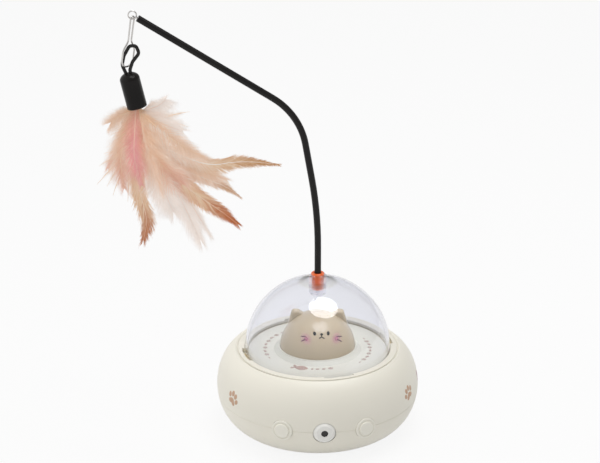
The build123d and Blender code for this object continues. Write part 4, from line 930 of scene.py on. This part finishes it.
bunch = [
    # name, replaced node, finish, slot, kind, changes, quill
    ("down_main", "feather_fluff", peach_down, "fluff_peach", down, dict(Length=0.019, Barbs=1100),
     [(-103, 0, 203), (-102, -3, 189), (-98, -6, 177), (-90, -6, 169), (-82, -4, 161), (-75, -2, 151)]),
    ("down_pink", None, pink_down, "fluff_peach", down, dict(Length=0.012, Barbs=700),
     [(-104, -1, 202), (-105, -6, 189), (-106, -9, 177), (-104, -9, 166), (-102, -8, 158)]),
    ("down_left", None, peach_down, "fluff_peach", down, dict(Length=0.014, Barbs=700),
     [(-104, 0, 201), (-109, 0, 190), (-113, -2, 178), (-114, -2, 166), (-112, -2, 154)]),
    ("down_corner", "feather_back", pale_down, "fluff_peach", down, dict(Length=0.010, Barbs=600, Tip_Share=0.8),
     [(-104, 1, 200), (-110, 2, 198), (-115, 3, 195.5), (-118.5, 3, 192.5)]),
    ("down_side", "feather_side", peach_down, "fluff_peach", down, dict(Length=0.010, Barbs=560),
     [(-104, 2, 192), (-111, 2, 182), (-117, 2, 173), (-121, 2, 165)]),
    ("down_upper", "feather_upper", white_plume, "feather_white", down,
     dict(Length=0.012, Barbs=640, Root_Share=0.35, Tip_Share=0.7, Bend=0.3),
     [(-101, 0, 200), (-95, 1, 201), (-90, 1, 203), (-87, 1, 206)]),
    ("down_shoulder", None, white_plume, "feather_white", down, dict(Length=0.014, Barbs=800),
     [(-101, -1, 199), (-92, -2, 194), (-84, -2, 190), (-78, -1, 188)]),
    ("down_right", "feather_right", pale_down, "fluff_peach", down, dict(Length=0.013, Barbs=760),
     [(-101, -2, 199), (-90, -3, 188), (-78, -3, 179), (-66, -2, 172)]),
    ("tan_feather", "feather_tan", tan_hackle, "feather_tan", hackle, dict(Barbs=620, Length=0.0100, Tip_Share=0.3),
     [(-90, 0, 178), (-72, 0, 169), (-60.6, 0, 166), (-50, 0, 167.8), (-38, 0, 168.0), (-23.2, 0, 165.9)]),
    ("fringe_feather", None, pale_down, "feather_white", down, dict(Length=0.013, Barbs=700, Flutter=0.0014),
     [(-88, 1, 172), (-74, 1, 165), (-63, 1, 161), (-53, 1, 157)]),
    ("small_brown_feather", "feather_small_brown", small_hackle, "feather_brown", hackle,
     dict(Length=0.0085, Ragged=0.3),
     [(-88, 2, 168), (-74, 2, 161), (-62, 2, 156), (-51, 2, 151), (-44.9, 2, 145.3)]),
    ("brown_feather", "feather_brown", brown_hackle, "feather_brown", hackle,
     dict(Length=0.0120, Tip_Share=0.4, Root_Lean=0.5),
     [(-90, -2, 168), (-80, -3, 158), (-70, -3, 149), (-60, -3, 141.5), (-53, -3, 136), (-47.4, -3, 131)]),
    ("white_long_feather", "feather_white_long", white_plume, "feather_white", down,
     dict(Length=0.015, Tip_Share=0.6, Flutter=0.0012, Barbs=900, Root_Lean=0.6, Tip_Lean=0.25),
     [(-88, -1, 164), (-82, -1, 151), (-76, -1, 138), (-72, -1, 128), (-69, -1, 121)]),
    ("white_short_feather", "feather_white_short", white_plume, "feather_white", down,
     dict(Length=0.009, Tip_Share=0.6, Flutter=0.0012, Barbs=560, Root_Lean=0.6, Tip_Lean=0.25),
     [(-86, 1, 162), (-77, 1, 148), (-69, 1, 134), (-62.5, 1, 121.5)]),
    ("down_middle", None, white_plume, "feather_white", down, dict(Length=0.016, Barbs=900),
     [(-96, -3, 170), (-91, -4, 157), (-87, -4, 147), (-84, -3, 139)]),
    ("left_low_feather", "feather_left", left_hackle, "feather_brown", hackle,
     dict(Length=0.0140, Root_Lean=0.4, Tip_Lean=0.3, Tip_Share=0.45, Ragged=0.4, Slimness=0.05, Flutter=0.0009),
     [(-104, -2, 172), (-104, -2, 156), (-102, -2, 146), (-99.6, -2, 136), (-100.2, -2, 128), (-101.8, -2, 122)]),
    ("down_front", None, pale_down, "fluff_peach", down, dict(Length=0.014, Facing=(1.0, 0.3, 0.0)),
     [(-102, -1, 201), (-100, -8, 188), (-97, -11, 175), (-93, -11, 163), (-90, -9, 153)]),
    ("down_back", None, peach_down, "fluff_peach", down, dict(Length=0.014, Facing=(1.0, -0.3, 0.0)),
     [(-102, 1, 201), (-100, 8, 188), (-97, 11, 175), (-93, 11, 163), (-90, 9, 153)]),
    ("down_behind", None, pale_down, "fluff_peach", down, dict(Length=0.018, Barbs=1000),
     [(-102, 1, 201), (-99, 5, 186), (-94, 7, 174), (-88, 7, 163), (-83, 6, 153)]),
    ("down_behind_left", None, pale_down, "fluff_peach", down, dict(Length=0.014, Barbs=800),
     [(-103, 1, 201), (-107, 5, 187), (-109, 7, 174), (-108, 6, 161), (-105, 5, 150)]),
]
wisp = dict(down, Barbs=150, Length=0.0045, Root_Share=1.0, Tip_Share=0.15, Tip_Lean=0.2, Flutter=0.0012)
wisp_ends = [(-126, 166.5), (-127.5, 156.6), (-122, 154), (-118.6, 149.9), (-110.3, 144.2), (-106.5, 142),
             (-123, 174), (-73.5, 199.5), (-74.5, 189)]
for number, (x, z) in enumerate(wisp_ends):
    start = Vector((-108, 0, 176)) if x < -100 else Vector((-92, 0, 194))
    end = Vector((x, 2 * (-1) ** number, z))
    middle = (start + end) / 2 + Vector((0, 0, 1.5))
    bunch.append((f"wisp_{number}", None, pale_down, "feather_white", wisp, {}, [start, middle, end]))
for number, (name, node, finish, slot, kind, changes, quill) in enumerate(bunch):
    piece = grow_feather(name, quill, finish, Seed=11 + number, **{**kind, **changes})
    if node:
        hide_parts(node)
    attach(piece, "lure")
    print(name, len(piece.data.polygons), "faces")

# %% [markdown]
# ## Floor and lamps
# A plain pale floor under a soft lamp and a soft sky, as in a product studio. Most of the floor's brightness is
# a glow that only the camera, mirrors and clear plastic see. The rest comes from the light, so the toy's shadow
# stays on it, but pale. The sky looks white to the camera. As a light it is darker, and brightest on the left.

# %% Floor
floor_mesh = bpy.data.meshes.new("studio_floor")
floor_half = 6.0
floor_glow = 0.88
corners = [(x * floor_half, y * floor_half, 0) for x, y in ((-1, -1), (1, -1), (1, 1), (-1, 1))]
floor_mesh.from_pydata(corners, [], [(0, 1, 2, 3)])
floor = add_object("studio_floor", floor_mesh)
floor_material = bpy.data.materials.new("studio floor")
floor_material.use_nodes = True
ground = floor_material.node_tree
ground.nodes.clear()
path = add_node(ground, "ShaderNodeLightPath")
seen = maths(ground, "MAXIMUM", path.outputs["Is Camera Ray"], path.outputs["Is Glossy Ray"])
seen = maths(ground, "MAXIMUM", seen, path.outputs["Is Transmission Ray"])
matt = add_node(ground, "ShaderNodeBsdfDiffuse", {"Color": (0.8, 0.8, 0.8, 1)})
glow = add_node(ground, "ShaderNodeEmission", {"Color": (1, 1, 1, 1), "Strength": 1.0})
share = times(ground, seen, floor_glow)
floor_mix = add_node(ground, "ShaderNodeMixShader", {0: share, 1: matt.outputs[0], 2: glow.outputs[0]})
add_node(ground, "ShaderNodeOutputMaterial", {0: floor_mix.outputs[0]})
floor_mesh.materials.append(floor_material)


# %% Lamps and sky
def lamp(name, place, aim, size, power):
    """A soft round lamp that looks at a point; places and size in metres, power in watts."""
    data = bpy.data.lights.new(name, "AREA")
    data.shape = "DISK"
    data.size = size
    data.energy = power
    thing = add_object(name, data)
    thing.location = place
    thing.rotation_euler = (Vector(aim) - Vector(place)).to_track_quat("-Z", "Y").to_euler()


lamp("key_lamp", (0.133, -0.052, 1.08), (0, 0, 0.08), 0.73, 5.3)
sky_level, side_gain, left_gain = 0.52, 0.3, -0.33
world = bpy.data.worlds.new("studio_sky")
world.use_nodes = True
sky = world.node_tree
sky.nodes.clear()
sky_path = add_node(sky, "ShaderNodeLightPath")
sky_seen = maths(sky, "MAXIMUM", sky_path.outputs["Is Camera Ray"], sky_path.outputs["Is Transmission Ray"])
sky_way = add_node(sky, "ShaderNodeSeparateXYZ")
sky.links.new(add_node(sky, "ShaderNodeTexCoord").outputs["Generated"], sky_way.inputs[0])
sideways = times(sky, maths(sky, "POWER", maths(sky, "ABSOLUTE", sky_way.outputs["X"]), 2.0), side_gain)
leftwards = times(sky, sky_way.outputs["X"], left_gain)
sky_glow = maths(sky, "ADD", maths(sky, "ADD", sideways, leftwards), sky_level)
sky_power = add_node(sky, "ShaderNodeMapRange", {"Value": sky_seen, "To Max": 1.0})
wire(sky, sky_power.inputs["To Min"], sky_glow)
sky_light = add_node(sky, "ShaderNodeBackground", {"Color": (1, 1, 1, 1), "Strength": sky_power.outputs[0]})
add_node(sky, "ShaderNodeOutputWorld", {"Surface": sky_light.outputs[0]})
bpy.context.scene.world = world
bpy.context.scene.view_settings.view_transform = "Standard"
